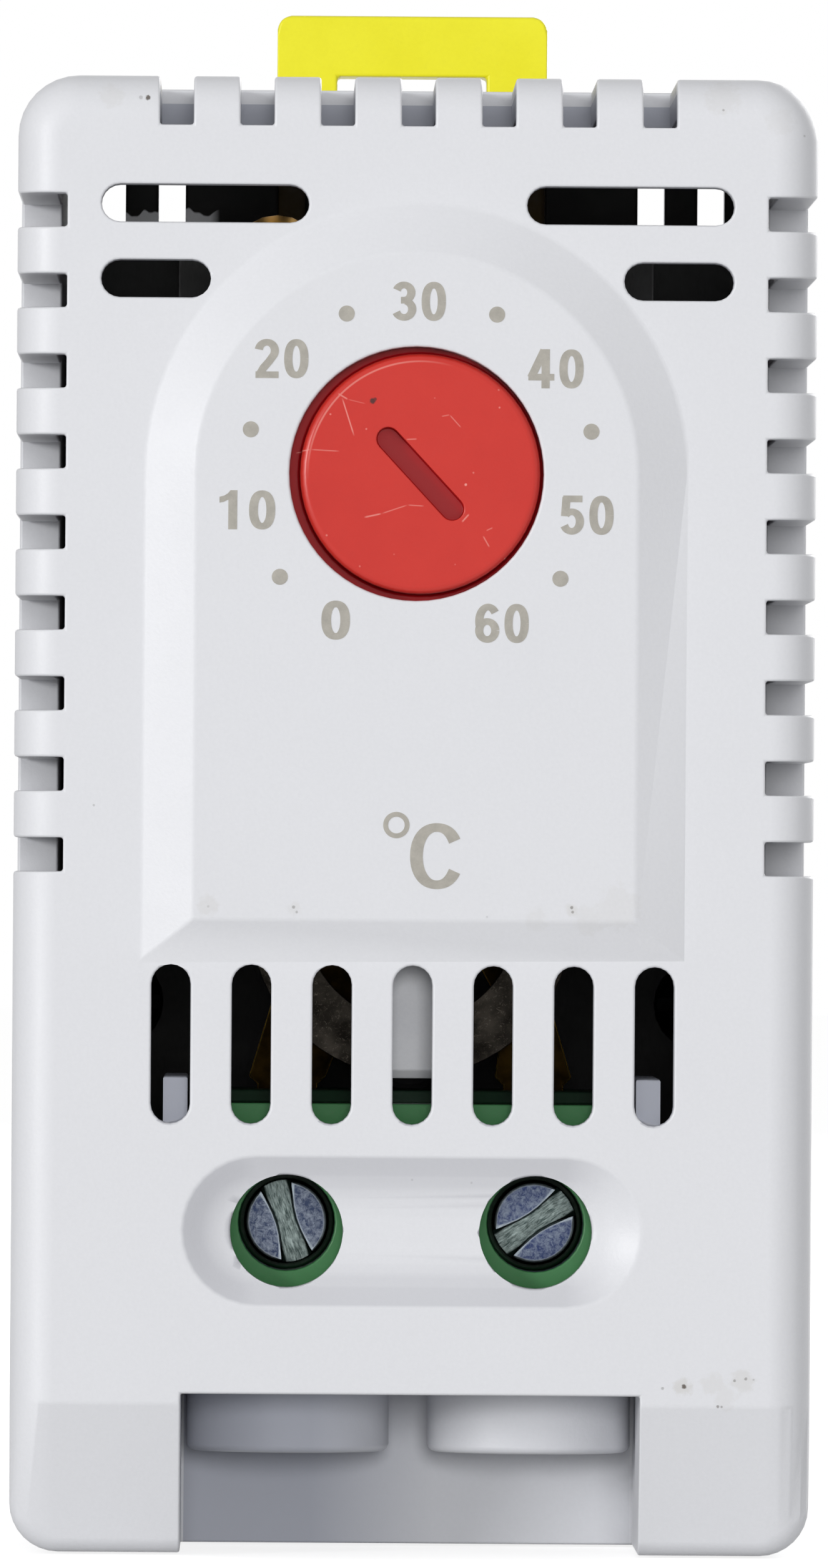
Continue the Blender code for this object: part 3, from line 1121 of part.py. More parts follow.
def make_contact_arm(material, parent, origin):
    """Spring blade that hangs from its riveted root and carries the moving contact."""
    half = ARM_WIDTH / 2
    top = ARM_ROOT_HEIGHT + RIVET_EDGE
    outer = ARM_RIVET_OFFSET + RIVET_EDGE
    outline = [(-half, ARM_FOOT_HEIGHT), (half, ARM_FOOT_HEIGHT), (half, ARM_HINGE_HEIGHT),
               (outer, ARM_HINGE_HEIGHT), (outer, top), (-half, top)]
    mesh = bmesh.new()
    add_prism(mesh, "Y", outline, ARM_Y, ARM_REAR_Y)
    arm = solid("contact_arm", mesh, material, origin, parent)
    holes = bmesh.new()
    for across, up in ((0, CONTACT_HEIGHT), (ARM_RIVET_OFFSET, ARM_ROOT_HEIGHT)):
        add_cylinder(holes, "Y", (across, up), RIVET_SHANK_RADIUS + FIT, ARM_Y - CLEAR,
                     ARM_REAR_Y + CLEAR, SMALL)
    shape(arm, "DIFFERENCE", holes, "rivet_holes")


def make_push_pin(material, parent):
    """Insulating pin between the bimetal blade's bend and the contact arm."""
    mesh = bmesh.new()
    front = BIMETAL_REAR_Y + FIT
    rear = ARM_Y - FIT
    chamfer = PUSH_PIN_RADIUS / 3
    profile = [(PUSH_PIN_RADIUS, front), (PUSH_PIN_RADIUS, rear - chamfer), (PUSH_PIN_RADIUS - chamfer, rear)]
    add_turned(mesh, "Y", (0, PUSH_PIN_HEIGHT), profile, SMALL)
    solid("push_pin", mesh, material, parent=parent)


def make_magnet(material, parent):
    """Ferrite magnet behind the arm's foot, which makes the contact snap."""
    mesh = bmesh.new()
    edge = MAGNET_RADIUS / 8
    profile = [(MAGNET_RADIUS - edge, MAGNET_Y), (MAGNET_RADIUS, MAGNET_Y + edge),
               (MAGNET_RADIUS, MAGNET_Y + MAGNET_LENGTH - edge),
               (MAGNET_RADIUS - edge, MAGNET_Y + MAGNET_LENGTH)]
    add_turned(mesh, "Y", (0, PUSH_PIN_HEIGHT), profile, SMALL)
    solid("snap_magnet", mesh, material, parent=parent)


def add_screw(mesh, centre, head_front, seat, length, head_radius, shank_radius):
    """Round-headed screw along Y: a domed head in front of its seat and a plain shank behind it."""
    dome = (seat - head_front) / 2
    profile = [(head_radius * 0.55, head_front), (head_radius * 0.88, head_front + dome * 0.45),
               (head_radius, head_front + dome), (head_radius, seat), (shank_radius, seat),
               (shank_radius, seat + length * 0.9), (shank_radius * 0.6, seat + length)]
    add_turned(mesh, "Y", centre, profile, SMALL)


def make_carrier_screws(steel, brass, parent):
    """Two screws that fasten the carrier to the posts, and the brass calibration screw on the bridge."""
    seat = CARRIER_FRONT_Y - FIT
    for name, side in (("left", -1), ("right", 1)):
        centre = (side * SCREW_POST_OFFSET, SCREW_POST_HEIGHT)
        mesh = bmesh.new()
        add_screw(mesh, centre, seat - CARRIER_SCREW_HEAD * 0.8, seat, CARRIER_SCREW_LENGTH,
                  CARRIER_SCREW_HEAD, CARRIER_SCREW_SHANK)
        screw = solid(f"carrier_screw_{name}", mesh, steel, parent=parent)
        cut_screw_slot(screw, centre, seat - CARRIER_SCREW_HEAD * 0.8, CARRIER_SCREW_HEAD)
    centre = (CALIBRATION_OFFSET, CALIBRATION_HEIGHT)
    seat = BRIDGE_FRONT_Y - FIT
    mesh = bmesh.new()
    add_screw(mesh, centre, seat - CALIBRATION_RADIUS * 0.65, seat, CALIBRATION_LENGTH,
              CALIBRATION_RADIUS, RIVET_SHANK_RADIUS)
    screw = solid("calibration_screw", mesh, brass, parent=parent)
    cut_screw_slot(screw, centre, seat - CALIBRATION_RADIUS * 0.65, CALIBRATION_RADIUS)


def cut_screw_slot(screw, centre, head_front, head_radius):
    """Straight driver slot across a round head."""
    mesh = bmesh.new()
    wide = head_radius * 0.16
    add_box(mesh, (centre[0] - head_radius * 1.2, head_front - CLEAR, centre[1] - wide),
            (centre[0] + head_radius * 1.2, head_front + head_radius * 0.3, centre[1] + wide))
    shape(screw, "DIFFERENCE", mesh, "slot")


def make_terminal_block(material, parent):
    """Two-way terminal block: screw bores in front, clamp chambers behind, wire entries below."""
    half = BLOCK_WIDTH / 2
    foot = CEILING_TOP + FIT
    rear_top = BLOCK_TOP + BLOCK_STEP
    step = BLOCK_FRONT_Y + BLOCK_STEP_DEPTH
    profile = [(BLOCK_FRONT_Y, foot), (BLOCK_REAR_Y, foot), (BLOCK_REAR_Y, rear_top), (step, rear_top),
               (step - BLOCK_STEP, BLOCK_TOP), (BLOCK_FRONT_Y, BLOCK_TOP)]
    mesh = bmesh.new()
    add_prism(mesh, "X", profile, -half, half)
    block = solid("terminal_block", mesh, material, parent=parent)

    chambers = bmesh.new()
    side = CAGE_WIDTH / 2 + FIT
    reach = CAGE_HEIGHT / 2 + FIT
    for across in TERMINALS.values():
        add_box(chambers, (across - side, CHAMBER_FRONT_Y, BORE_HEIGHT - reach),
                (across + side, BLOCK_REAR_Y + CLEAR, BORE_HEIGHT + reach))
    shape(block, "DIFFERENCE", chambers, "chambers")
    openings = bmesh.new()
    entry = CAGE_WIDTH / 2 - CAGE_WALL
    strap_side = STRAP_WIDTH / 2 + FIT
    for across in TERMINALS.values():
        centre = (across, BORE_HEIGHT)
        hole = SHANK_RADIUS + FIT
        profile = [(BLOCK_BORE_RADIUS, BLOCK_FRONT_Y - CLEAR), (BLOCK_BORE_RADIUS, SEAT_Y), (hole, SEAT_Y),
                   (hole, CHAMBER_FRONT_Y + FIT)]
        add_turned(openings, "Y", centre, profile)
        add_box(openings, (across - entry, STRAP_Y - FIT, foot - CLEAR),
                (across + entry, CAGE_REAR_Y - CAGE_WALL, BORE_HEIGHT - reach + FIT))
        add_box(openings, (across - strap_side, STRAP_Y - FIT, BORE_HEIGHT + reach - FIT),
                (across + strap_side, STRAP_REAR_Y + FIT, rear_top + CLEAR))
    shape(block, "DIFFERENCE", openings, "bores_entries_and_slots")


def lens_slot(centre, lean):
    """Slot outline that is narrow in the middle and wide at the rim, turned clockwise by an angle."""
    reach = HEAD_RADIUS * 1.1
    waist = HEAD_SLOT_WAIST / 2
    mouth = HEAD_SLOT_MOUTH / 2
    points = []
    steps = 8
    for side in (1, -1):
        for step in range(steps + 1):
            along = side * reach * (1 - 2 * step / steps)
            points.append((side * (waist + (mouth - waist) * (along / reach) ** 2), along))
    return turned_outline(points, centre, lean)


def make_terminal_screws(material, frames):
    """Clamp screws, each turned to where it was left."""
    for name, lean in (("left", -17.0), ("right", 56.0)):
        centre = (TERMINALS[name], BORE_HEIGHT)
        origin = (centre[0], SEAT_Y, centre[1])
        edge = HEAD_RADIUS / 12
        end = STRAP_Y - FIT
        mesh = bmesh.new()
        profile = [(HEAD_RADIUS - edge, HEAD_FRONT_Y), (HEAD_RADIUS, HEAD_FRONT_Y + edge),
                   (HEAD_RADIUS, HEAD_FRONT_Y + HEAD_HEIGHT), (SHANK_RADIUS, HEAD_FRONT_Y + HEAD_HEIGHT),
                   (SHANK_RADIUS, end - edge), (SHANK_RADIUS - edge, end)]
        add_turned(mesh, "Y", centre, profile, ROUND)
        screw = solid(f"terminal_screw_{name}", mesh, material, origin, frames[name])
        slot = bmesh.new()
        add_prism(slot, "Y", lens_slot(centre, lean), HEAD_FRONT_Y - CLEAR, HEAD_FRONT_Y + HEAD_SLOT_DEPTH)
        shape(screw, "DIFFERENCE", slot, "slot")


def make_clamp_cages(material, frames):
    """Clamp cages: square tubes round the strap's bar, drawn forward by their screws."""
    half = CAGE_WIDTH / 2
    reach = CAGE_HEIGHT / 2
    for name, across in TERMINALS.items():
        origin = (across, CAGE_FRONT_Y, BORE_HEIGHT)
        mesh = bmesh.new()
        add_box(mesh, (across - half, CAGE_FRONT_Y, BORE_HEIGHT - reach),
                (across + half, CAGE_REAR_Y, BORE_HEIGHT + reach))
        cage = solid(f"clamp_cage_{name}", mesh, material, origin, frames[name])
        cut = bmesh.new()
        add_box(cut, (across - half + CAGE_WALL, CAGE_FRONT_Y + CAGE_FRONT, BORE_HEIGHT - reach - CLEAR),
                (across + half - CAGE_WALL, CAGE_REAR_Y - CAGE_WALL, BORE_HEIGHT + reach + CLEAR))
        shape(cage, "DIFFERENCE", cut, "window")
        hole = bmesh.new()
        add_cylinder(hole, "Y", (across, BORE_HEIGHT), SHANK_RADIUS + FIT, CAGE_FRONT_Y - CLEAR,
                     CAGE_FRONT_Y + CAGE_FRONT + FIT, SMALL)
        shape(cage, "DIFFERENCE", hole, "hole")


def build():
    """Clear the scene and make every piece."""
    for item in list(bpy.data.objects):
        bpy.data.objects.remove(item, do_unlink=True)

    housing_plastic = finish("light_grey_moulding", "E1E1E5", 0.42)
    red_plastic = finish("red_moulding", "D0463C", 0.38)
    yellow_plastic = finish("yellow_moulding", "F2EB40", 0.40)
    green_plastic = finish("green_moulding", "2F7A45", 0.40)
    black_plastic = finish("black_moulding", "161616", 0.55)
    natural_plastic = finish("natural_nylon", "C9CBCE", 0.50)
    brass = finish("brass", "B08D4A", 0.35, 1.0)
    zinc = finish("zinc_plated_steel", "9AA4AE", 0.32, 1.0)
    spring_steel = finish("spring_steel", "A9ABAE", 0.30, 1.0)
    bimetal = finish("aged_bimetal", "4A4643", 0.60, 1.0)
    silver = finish("silver_contact", "D8D8DA", 0.25, 1.0)
    ferrite = finish("ferrite", "2B2B2D", 0.70)

    case = joint_frame("case", (0, 0, 0))
    dial = joint_frame("dial_axis", (DIAL_OFFSET, FLANGE_REAR_Y, DIAL_HEIGHT))
    lever = joint_frame("lever_axis", (0, LEVER_PIVOT_Y, LEVER_PIVOT_HEIGHT))
    arm = joint_frame("arm_axis", (0, ARM_Y, ARM_HINGE_HEIGHT))
    latch = joint_frame("latch_slide", (0, LATCH_FRONT_Y, RAIL_TOP))
    screws = {name: joint_frame(f"screw_axis_{name}", (across, SEAT_Y, BORE_HEIGHT))
              for name, across in TERMINALS.items()}
    cages = {name: joint_frame(f"cage_slide_{name}", (across, CAGE_FRONT_Y, BORE_HEIGHT))
             for name, across in TERMINALS.items()}

    make_front_cover(housing_plastic, case)
    make_rear_housing(housing_plastic, case)
    make_rail_latch(yellow_plastic, latch, latch.location)
    make_latch_spring(spring_steel, case)
    make_dial_knob(red_plastic, dial, dial.location)
    make_spindle(brass, dial, dial.location)
    make_bush(brass, case)
    make_setting_lever(natural_plastic, lever, lever.location)
    make_pivot_pin(zinc, case)
    make_switch_carrier(black_plastic, case)
    make_bimetal(bimetal, case)
    make_rivets(brass, case)
    make_straps(brass, case)
    make_contact_arm(spring_steel, arm, arm.location)
    make_contacts(silver, case, arm, arm.location)
    make_push_pin(natural_plastic, case)
    make_magnet(ferrite, case)
    make_carrier_screws(zinc, brass, case)
    make_terminal_block(green_plastic, case)
    make_terminal_screws(zinc, screws)
    make_clamp_cages(zinc, cages)


build()
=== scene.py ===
# %% [markdown]
# # A rail-clip thermostat, dressed over its CAD model
# The small control-cabinet thermostat is already there as solids: housing, dial, latch, terminals and switch.
# This lesson gives those solids the finish of the real mouldings and metal pieces, adds what is too fine for
# the solids, and sets up the camera and the light of the photograph.
# One unit is one metre, and a piece goes where the solids are, so nothing has to be fitted by eye.

# %% Load the solids
import json
import math

import bmesh
import bpy
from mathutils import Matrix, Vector
from mathutils.bvhtree import BVHTree
from mathutils.geometry import delaunay_2d_cdt
from mathutils.kdtree import KDTree


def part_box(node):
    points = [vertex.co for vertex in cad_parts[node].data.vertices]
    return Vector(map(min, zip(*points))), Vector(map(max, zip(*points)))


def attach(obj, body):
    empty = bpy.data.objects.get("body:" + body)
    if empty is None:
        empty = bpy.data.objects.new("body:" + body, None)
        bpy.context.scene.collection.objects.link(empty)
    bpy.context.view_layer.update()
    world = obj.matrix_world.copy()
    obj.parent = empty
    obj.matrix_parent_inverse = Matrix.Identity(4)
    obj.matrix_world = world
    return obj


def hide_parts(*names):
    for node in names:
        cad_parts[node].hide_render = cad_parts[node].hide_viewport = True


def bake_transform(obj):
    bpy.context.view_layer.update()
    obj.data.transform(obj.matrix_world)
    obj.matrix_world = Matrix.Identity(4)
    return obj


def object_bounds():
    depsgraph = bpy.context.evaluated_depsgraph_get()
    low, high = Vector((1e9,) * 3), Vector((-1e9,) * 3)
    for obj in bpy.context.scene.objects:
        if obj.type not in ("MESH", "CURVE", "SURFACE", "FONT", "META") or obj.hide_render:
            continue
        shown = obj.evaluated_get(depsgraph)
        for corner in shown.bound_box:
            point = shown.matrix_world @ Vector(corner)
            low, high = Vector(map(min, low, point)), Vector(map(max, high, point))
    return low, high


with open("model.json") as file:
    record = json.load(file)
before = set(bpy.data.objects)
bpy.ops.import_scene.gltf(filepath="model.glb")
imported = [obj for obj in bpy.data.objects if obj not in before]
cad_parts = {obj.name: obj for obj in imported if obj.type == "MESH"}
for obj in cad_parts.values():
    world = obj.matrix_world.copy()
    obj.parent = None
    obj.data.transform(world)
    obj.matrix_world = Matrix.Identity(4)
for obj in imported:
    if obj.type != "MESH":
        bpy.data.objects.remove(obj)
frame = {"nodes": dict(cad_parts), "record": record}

CAD_BOX = [[float(value) for value in corner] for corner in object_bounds()]
BODY_OF = {node: body for body, nodes in frame["record"]["behaviour"]["bodies"].items() for node in nodes}
print("box in mm:", [[round(value * 1000, 2) for value in corner] for corner in CAD_BOX])

# %% [markdown]
# ## Helpers
# Colours are written as the sRGB hex codes that a picture editor shows, while Blender's sockets want linear
# values, so one function converts them. One more adds any node with its settings and links. The others stand
# for a few nodes that belong together, such as the mask of a range. A material works in Object coordinates of
# millimetres: a noise of scale 5 has a grain of a fifth of a millimetre.

# %% Helpers for colours and nodes
def linear(code):
    """Linear RGBA of an sRGB hex code such as "D8D8DC"."""
    values = [int(code[at:at + 2], 16) / 255 for at in (0, 2, 4)]
    return [value / 12.92 if value <= 0.04045 else ((value + 0.055) / 1.055) ** 2.4 for value in values] + [1.0]


def add_node(tree, kind, settings=None, inputs=None):
    """Add a node, set its settings, and fill its inputs: a dictionary by name, a list in the order it shows.

    What fills an input is a value, a hex colour, another node's output, or the node for its first output.
    """
    node = tree.nodes.new(kind)
    for name, value in (settings or {}).items():
        setattr(node, name, value)
    if isinstance(inputs, list):
        filled = list(zip([socket for socket in node.inputs if socket.enabled], inputs))
    else:
        filled = [(node.inputs[key], value) for key, value in (inputs or {}).items()]
    for socket, value in filled:
        if isinstance(value, bpy.types.Node):
            value = next(output for output in value.outputs if output.enabled)
        if isinstance(value, bpy.types.NodeSocket):
            tree.links.new(value, socket)
        else:
            socket.default_value = linear(value) if isinstance(value, str) else value
    return node


# Settings of a Mix node for colours, and the node's own value for an input between two that a finish sets.
COLOURS = {"data_type": "RGBA"}
LACUNARITY = 2.0


def normal_parts(tree):
    """X, Y and Z of the direction that the surface faces."""
    return add_node(tree, "ShaderNodeSeparateXYZ", {},
                    [add_node(tree, "ShaderNodeNewGeometry").outputs["Normal"]]).outputs


def combined(tree, operation, masks):
    """One mask out of several: MULTIPLY where all of them meet, MAXIMUM for the strongest."""
    total = masks[0]
    for mask in masks[1:]:
        total = add_node(tree, "ShaderNodeMath", {"operation": operation}, [total, mask])
    return total


def within(tree, value, centre, reach):
    """Mask that is 1 where a value is less than that reach away from a centre."""
    off = add_node(tree, "ShaderNodeMath", {"operation": "ABSOLUTE"},
                   [add_node(tree, "ShaderNodeMath", {"operation": "SUBTRACT"}, [value, centre])])
    return add_node(tree, "ShaderNodeMath", {"operation": "LESS_THAN"}, [off, reach])


def seen_by(tree, *kinds):
    """Mask that is 1 for these kinds of ray, by the Light Path."""
    path = add_node(tree, "ShaderNodeLightPath").outputs
    return combined(tree, "MAXIMUM", [path["Is %s Ray" % kind] for kind in kinds])


def new_material(name, **constants):
    """Material with a Principled shader, its constants, and its place in millimetres of Object coordinates."""
    material = bpy.data.materials.new(name)
    material.use_nodes = True
    tree = material.node_tree
    tree.nodes.clear()
    shader = add_node(tree, "ShaderNodeBsdfPrincipled")
    for socket, value in constants.items():
        shader.inputs[socket.replace("_", " ")].default_value = value
    add_node(tree, "ShaderNodeOutputMaterial", inputs={"Surface": shader.outputs["BSDF"]})
    metres = add_node(tree, "ShaderNodeTexCoord").outputs["Object"]
    place = add_node(tree, "ShaderNodeVectorMath", {"operation": "SCALE"}, {"Vector": metres, "Scale": 1000.0})
    return material, tree, shader, place.outputs["Vector"]


def dress(tree, shader, colour, roughness, height, strength, depth_mm):
    """Link a colour, a roughness and a relief of that depth to the shader."""
    relief = add_node(tree, "ShaderNodeBump", inputs={
        "Height": height, "Strength": strength, "Distance": depth_mm / 1000})
    for name, node in (("Base Color", colour), ("Roughness", roughness), ("Normal", relief)):
        tree.links.new(next(output for output in node.outputs if output.enabled), shader.inputs[name])


print("white F2F2F2 in linear values:", [round(value, 3) for value in linear("F2F2F2")])

# %% [markdown]
# ## The camera
# The photograph looks straight at the dial from a long way off: the housing's sides hardly show. A long lens
# at 0.8 m gives that view. The place and the tilt were measured from the housing's corners in the picture,
# within about one of its 2512 pixels.

# %% Camera
camera_data = bpy.data.cameras.new("front_view")
camera_data.lens = 446.28
camera_data.sensor_width = 36.0
camera = bpy.data.objects.new("front_view", camera_data)
camera.location = (-0.006322, -0.816121, 0.028161)
camera.rotation_euler = [math.radians(angle) for angle in (90.2489, -0.3995, -0.4561)]
scene = bpy.context.scene
scene.collection.objects.link(camera)
scene.camera = camera
print("camera", round(camera.location.length, 3), "m from the origin, lens", camera_data.lens, "mm")

# %% [markdown]
# ## Light, floor and white background
# The picture is a studio shot: the left bevels are the brightest, the right ones and the lower ones a little
# darker than the front. An even grey world gives the soft part, a small softbox at the left the direction, and
# a fill from the front reaches what is behind the vents. The background is white to the camera alone, by Light
# Path, so it adds no light to the object.

# %% Light and background
AMBIENT = 0.375
scene.view_settings.view_transform = "Standard"
world = bpy.data.worlds.new("soft_white_studio")
world.use_nodes = True
scene.world = world
sky = world.node_tree
sky.nodes.clear()
ambient = add_node(sky, "ShaderNodeBackground", inputs={"Color": linear("FFFFFF"), "Strength": AMBIENT})
white = add_node(sky, "ShaderNodeBackground", inputs={"Color": linear("FFFFFF"), "Strength": 1.0})
either = add_node(sky, "ShaderNodeMixShader", inputs={
    0: seen_by(sky, "Camera", "Glossy", "Transmission"), 1: ambient.outputs[0], 2: white.outputs[0]})
add_node(sky, "ShaderNodeOutputWorld", inputs={"Surface": either.outputs[0]})


def soft_lamp(name, direction, distance, size, share):
    """Area lamp towards the dial: share is the light it adds to a face turned to it, where 1 is the whole."""
    data = bpy.data.lights.new(name, "AREA")
    data.shape = "DISK"
    data.size = size
    data.energy = share * math.pi ** 2 * distance ** 2
    lamp = bpy.data.objects.new(name, data)
    aim = Vector(direction).normalized()
    lamp.location = Vector((0, 0, 0.03)) + aim * distance
    lamp.rotation_euler = aim.to_track_quat("Z", "Y").to_euler()
    lamp.visible_camera = False
    scene.collection.objects.link(lamp)
    print(name, "at", [round(value, 2) for value in lamp.location], "power", round(data.energy, 2), "W")
    return lamp


soft_lamp("left_softbox", (-0.70, -0.70, 0.13), 1.1, 0.22, 0.36)
fill = soft_lamp("front_fill", (0.03, -1.00, 0.06), 1.3, 0.24, 0.385)
# The fill is cross-polarised, as a studio does it: it lights what is behind the vents, and adds no gloss.
fill.visible_glossy = False
soft_lamp("back_softbox", (0.45, 0.85, 0.30), 1.1, 0.55, 0.45)

# %% Floor that keeps the shadow and still reads white
FLOOR_RADIUS = 3.0
FLOOR_SHADE = 0.50
# How much light the open paper gets, where 1 is the whole. It sends its shade of that back, and the lift adds
# what is missing to white.
FLOOR_LIGHT = 0.40
LIFT = 1.0 - FLOOR_LIGHT * FLOOR_SHADE


def mesh_of(form, name):
    """Turn a bmesh into a mesh and free it."""
    mesh = bpy.data.meshes.new(name)
    form.to_mesh(mesh)
    form.free()
    return mesh


def add_piece(name, mesh):
    """Object at the origin with that mesh."""
    piece = bpy.data.objects.new(name, mesh)
    scene.collection.objects.link(piece)
    return piece


floor_form = bmesh.new()
bmesh.ops.create_circle(floor_form, cap_ends=True, segments=64, radius=FLOOR_RADIUS)
floor = add_piece("floor", mesh_of(floor_form, "floor"))
floor.location = (0, 0, -0.0001)

floor_material = bpy.data.materials.new("white_paper_floor")
floor_material.use_nodes = True
tree = floor_material.node_tree
tree.nodes.clear()
paper = add_node(tree, "ShaderNodeBsdfDiffuse", inputs={"Color": (FLOOR_SHADE, FLOOR_SHADE, FLOOR_SHADE, 1.0)})
lift = add_node(tree, "ShaderNodeMath", {"operation": "MULTIPLY"}, [seen_by(tree, "Camera", "Glossy"), LIFT])
glow = add_node(tree, "ShaderNodeEmission", inputs={"Color": "FFFFFF", "Strength": lift})
both = add_node(tree, "ShaderNodeAddShader", inputs={0: paper.outputs[0], 1: glow.outputs[0]})
add_node(tree, "ShaderNodeOutputMaterial", inputs={"Surface": both.outputs[0]})
floor.data.materials.append(floor_material)
print("floor", len(floor.data.polygons), "face, shade", FLOOR_SHADE)

# %% [markdown]
# ## Light grey housing plastic
# The housing is a light grey self-extinguishing moulding. Its tool was spark-eroded, so the surface has a very
# fine grain that keeps it matt, and the colour is a touch uneven where the melt flowed. The device has been
# handled: a few specks and faint brown stains sit on it, mostly at the foot of the panel and above the right
# foot. Each mark is a place and a radius in millimetres, broken up by noise so that none is a clean disc.
# The lamps alone leave the recesses too light, so shade is painted into the colour: a greyer tone on the slopes of the
# basin and on what lies behind the face, and black on the inner side of the rear wall.

# %% Marks of use
FRONT_ONLY = (1, 0, 1)


def marks(tree, place, spots, grain, edge):
    """Mask of 0 to 1: the strongest of the spots (x, z, radius, strength) seen along Y, frayed by noise."""
    flat = add_node(tree, "ShaderNodeVectorMath", {"operation": "MULTIPLY"}, [place, FRONT_ONLY])
    fray = add_node(tree, "ShaderNodeTexNoise", {}, [place, grain, 4.0, 0.65])
    masks = []
    for x, z, radius, strength in spots:
        gap = add_node(tree, "ShaderNodeVectorMath", {"operation": "DISTANCE"}, [flat, (x, 0, z)])
        loose = add_node(tree, "ShaderNodeMath", {"operation": "MULTIPLY_ADD"}, [fray, radius * edge, gap])
        masks.append(add_node(tree, "ShaderNodeMapRange", {"interpolation_type": "SMOOTHSTEP"}, [
            loose, radius * (0.5 + edge / 2), radius * (1.0 + edge / 2), strength, 0.0]))
    return combined(tree, "MAXIMUM", masks)


# Where the photograph shows a speck or a faint stain: x, z and radius in millimetres, and strength.
SPECKS = [(-11.09, 59.65, 0.13, 0.9), (-11.38, 59.66, 0.10, 0.3), (12.46, 59.3, 0.06, 0.4), (15.80, 58.28, 0.06, 0.3),
          (-4.90, 26.55, 0.08, 0.45), (-4.78, 26.35, 0.07, 0.35), (-8.4, 26.55, 0.07, 0.2), (6.46, 26.60, 0.08, 0.6),
          (6.50, 26.42, 0.07, 0.5), (3.0, 26.2, 0.06, 0.2), (-13.11, 30.66, 0.06, 0.3), (11.20, 7.02, 0.12, 0.9),
          (10.33, 6.95, 0.08, 0.4), (13.27, 7.28, 0.08, 0.5), (13.73, 7.36, 0.08, 0.5), (14.05, 7.33, 0.06, 0.3),
          (12.60, 6.22, 0.08, 0.6), (12.75, 6.21, 0.06, 0.5), (0.03, 15.41, 0.07, 0.3), (2.46, 15.30, 0.06, 0.3)]
STAINS = [(11.15, 7.02, 0.45, 0.20), (12.4, 7.10, 0.55, 0.10), (13.6, 7.25, 0.60, 0.14), (12.9, 6.60, 0.60, 0.08),
          (8.4, 26.6, 1.10, 0.07), (7.2, 26.1, 0.80, 0.07), (6.46, 26.5, 0.32, 0.14), (5.0, 26.1, 0.60, 0.06),
          (-4.9, 26.5, 0.35, 0.08), (-8.4, 26.6, 0.50, 0.10), (-12.6, 59.7, 0.60, 0.08), (12.4, 59.8, 0.90, 0.08),
          (14.8, 58.8, 0.70, 0.06)]
print("specks:", len(SPECKS), "stains:", len(STAINS))

# %% Housing finish
# Places in millimetres: behind the face from the first depth, fully from the second.
BEHIND_FACE = (-19.5, -18.5)
FEET_TOP, ROOF = 8.0, 60.0
HALF_CUTOUT, HALF_VENTS = 9.3, 14.3
BASIN_Z, BASIN_REACH_Z, BASIN_REACH_X = 13.6, 4.2, 10.5


def painted_recess_shade(tree, x, y, z):
    """Masks of the painted shade behind the face and of the painted shade on the slopes of the basin."""
    # Above the feet the walls behind the vents get a painted shade. Between the feet it gets less from left to right,
    # as a painted shadow of the left foot.
    reach = add_node(tree, "ShaderNodeMapRange", {}, [z, FEET_TOP, FEET_TOP + 0.1, HALF_CUTOUT, HALF_VENTS])
    least = add_node(tree, "ShaderNodeMapRange", {}, [z, FEET_TOP, FEET_TOP + 0.1, 0.15, 1.0])
    fading = add_node(tree, "ShaderNodeMapRange", {}, [x, -4.0, 2.0, 1.0, 0.0])
    front = add_node(tree, "ShaderNodeMath", {"operation": "LESS_THAN"}, [y, 0.0])
    below = add_node(tree, "ShaderNodeMath", {"operation": "LESS_THAN"}, [z, ROOF])
    depth = add_node(tree, "ShaderNodeMapRange", {}, [y, *BEHIND_FACE])
    behind = combined(tree, "MULTIPLY", [
        within(tree, x, 0.0, reach), below, front, depth, combined(tree, "MAXIMUM", [least, fading])])
    # In the basin a slope gets painted shade by how far it turns from the front, and less where it faces left, towards
    # the light.
    normal = normal_parts(tree)
    tilt = add_node(tree, "ShaderNodeMapRange", {}, [normal["Y"], -0.995, -0.93, 0.0, 0.75])
    faced = add_node(tree, "ShaderNodeMapRange", {}, [normal["X"], -0.30, 0.10, 0.1, 1.0])
    basin = combined(tree, "MULTIPLY", [
        within(tree, z, BASIN_Z, BASIN_REACH_Z), within(tree, x, 0.0, BASIN_REACH_X), front, tilt, faced])
    return behind, basin


def painted_shade_back_wall(tree, x, y, z):
    """Mask of the inner side of the rear wall that is painted black as shade; its lower edge is wavy at the left."""
    wave = add_node(tree, "ShaderNodeTexNoise", {"noise_dimensions": "1D"}, {"W": x, "Scale": 1.3, "Detail": 1.0})
    height = add_node(tree, "ShaderNodeMath", {"operation": "MULTIPLY_ADD"}, [wave, -0.8, z])
    above = add_node(tree, "ShaderNodeMapRange", {}, [height, 55.70, 55.78])
    right = add_node(tree, "ShaderNodeMapRange", {}, [x, -8.6, -8.2])
    return combined(tree, "MULTIPLY", [
        within(tree, y, 6.0, 9.6), within(tree, x, 0.0, 14.7), within(tree, z, 34.0, 25.0),
        combined(tree, "MAXIMUM", [above, right])])


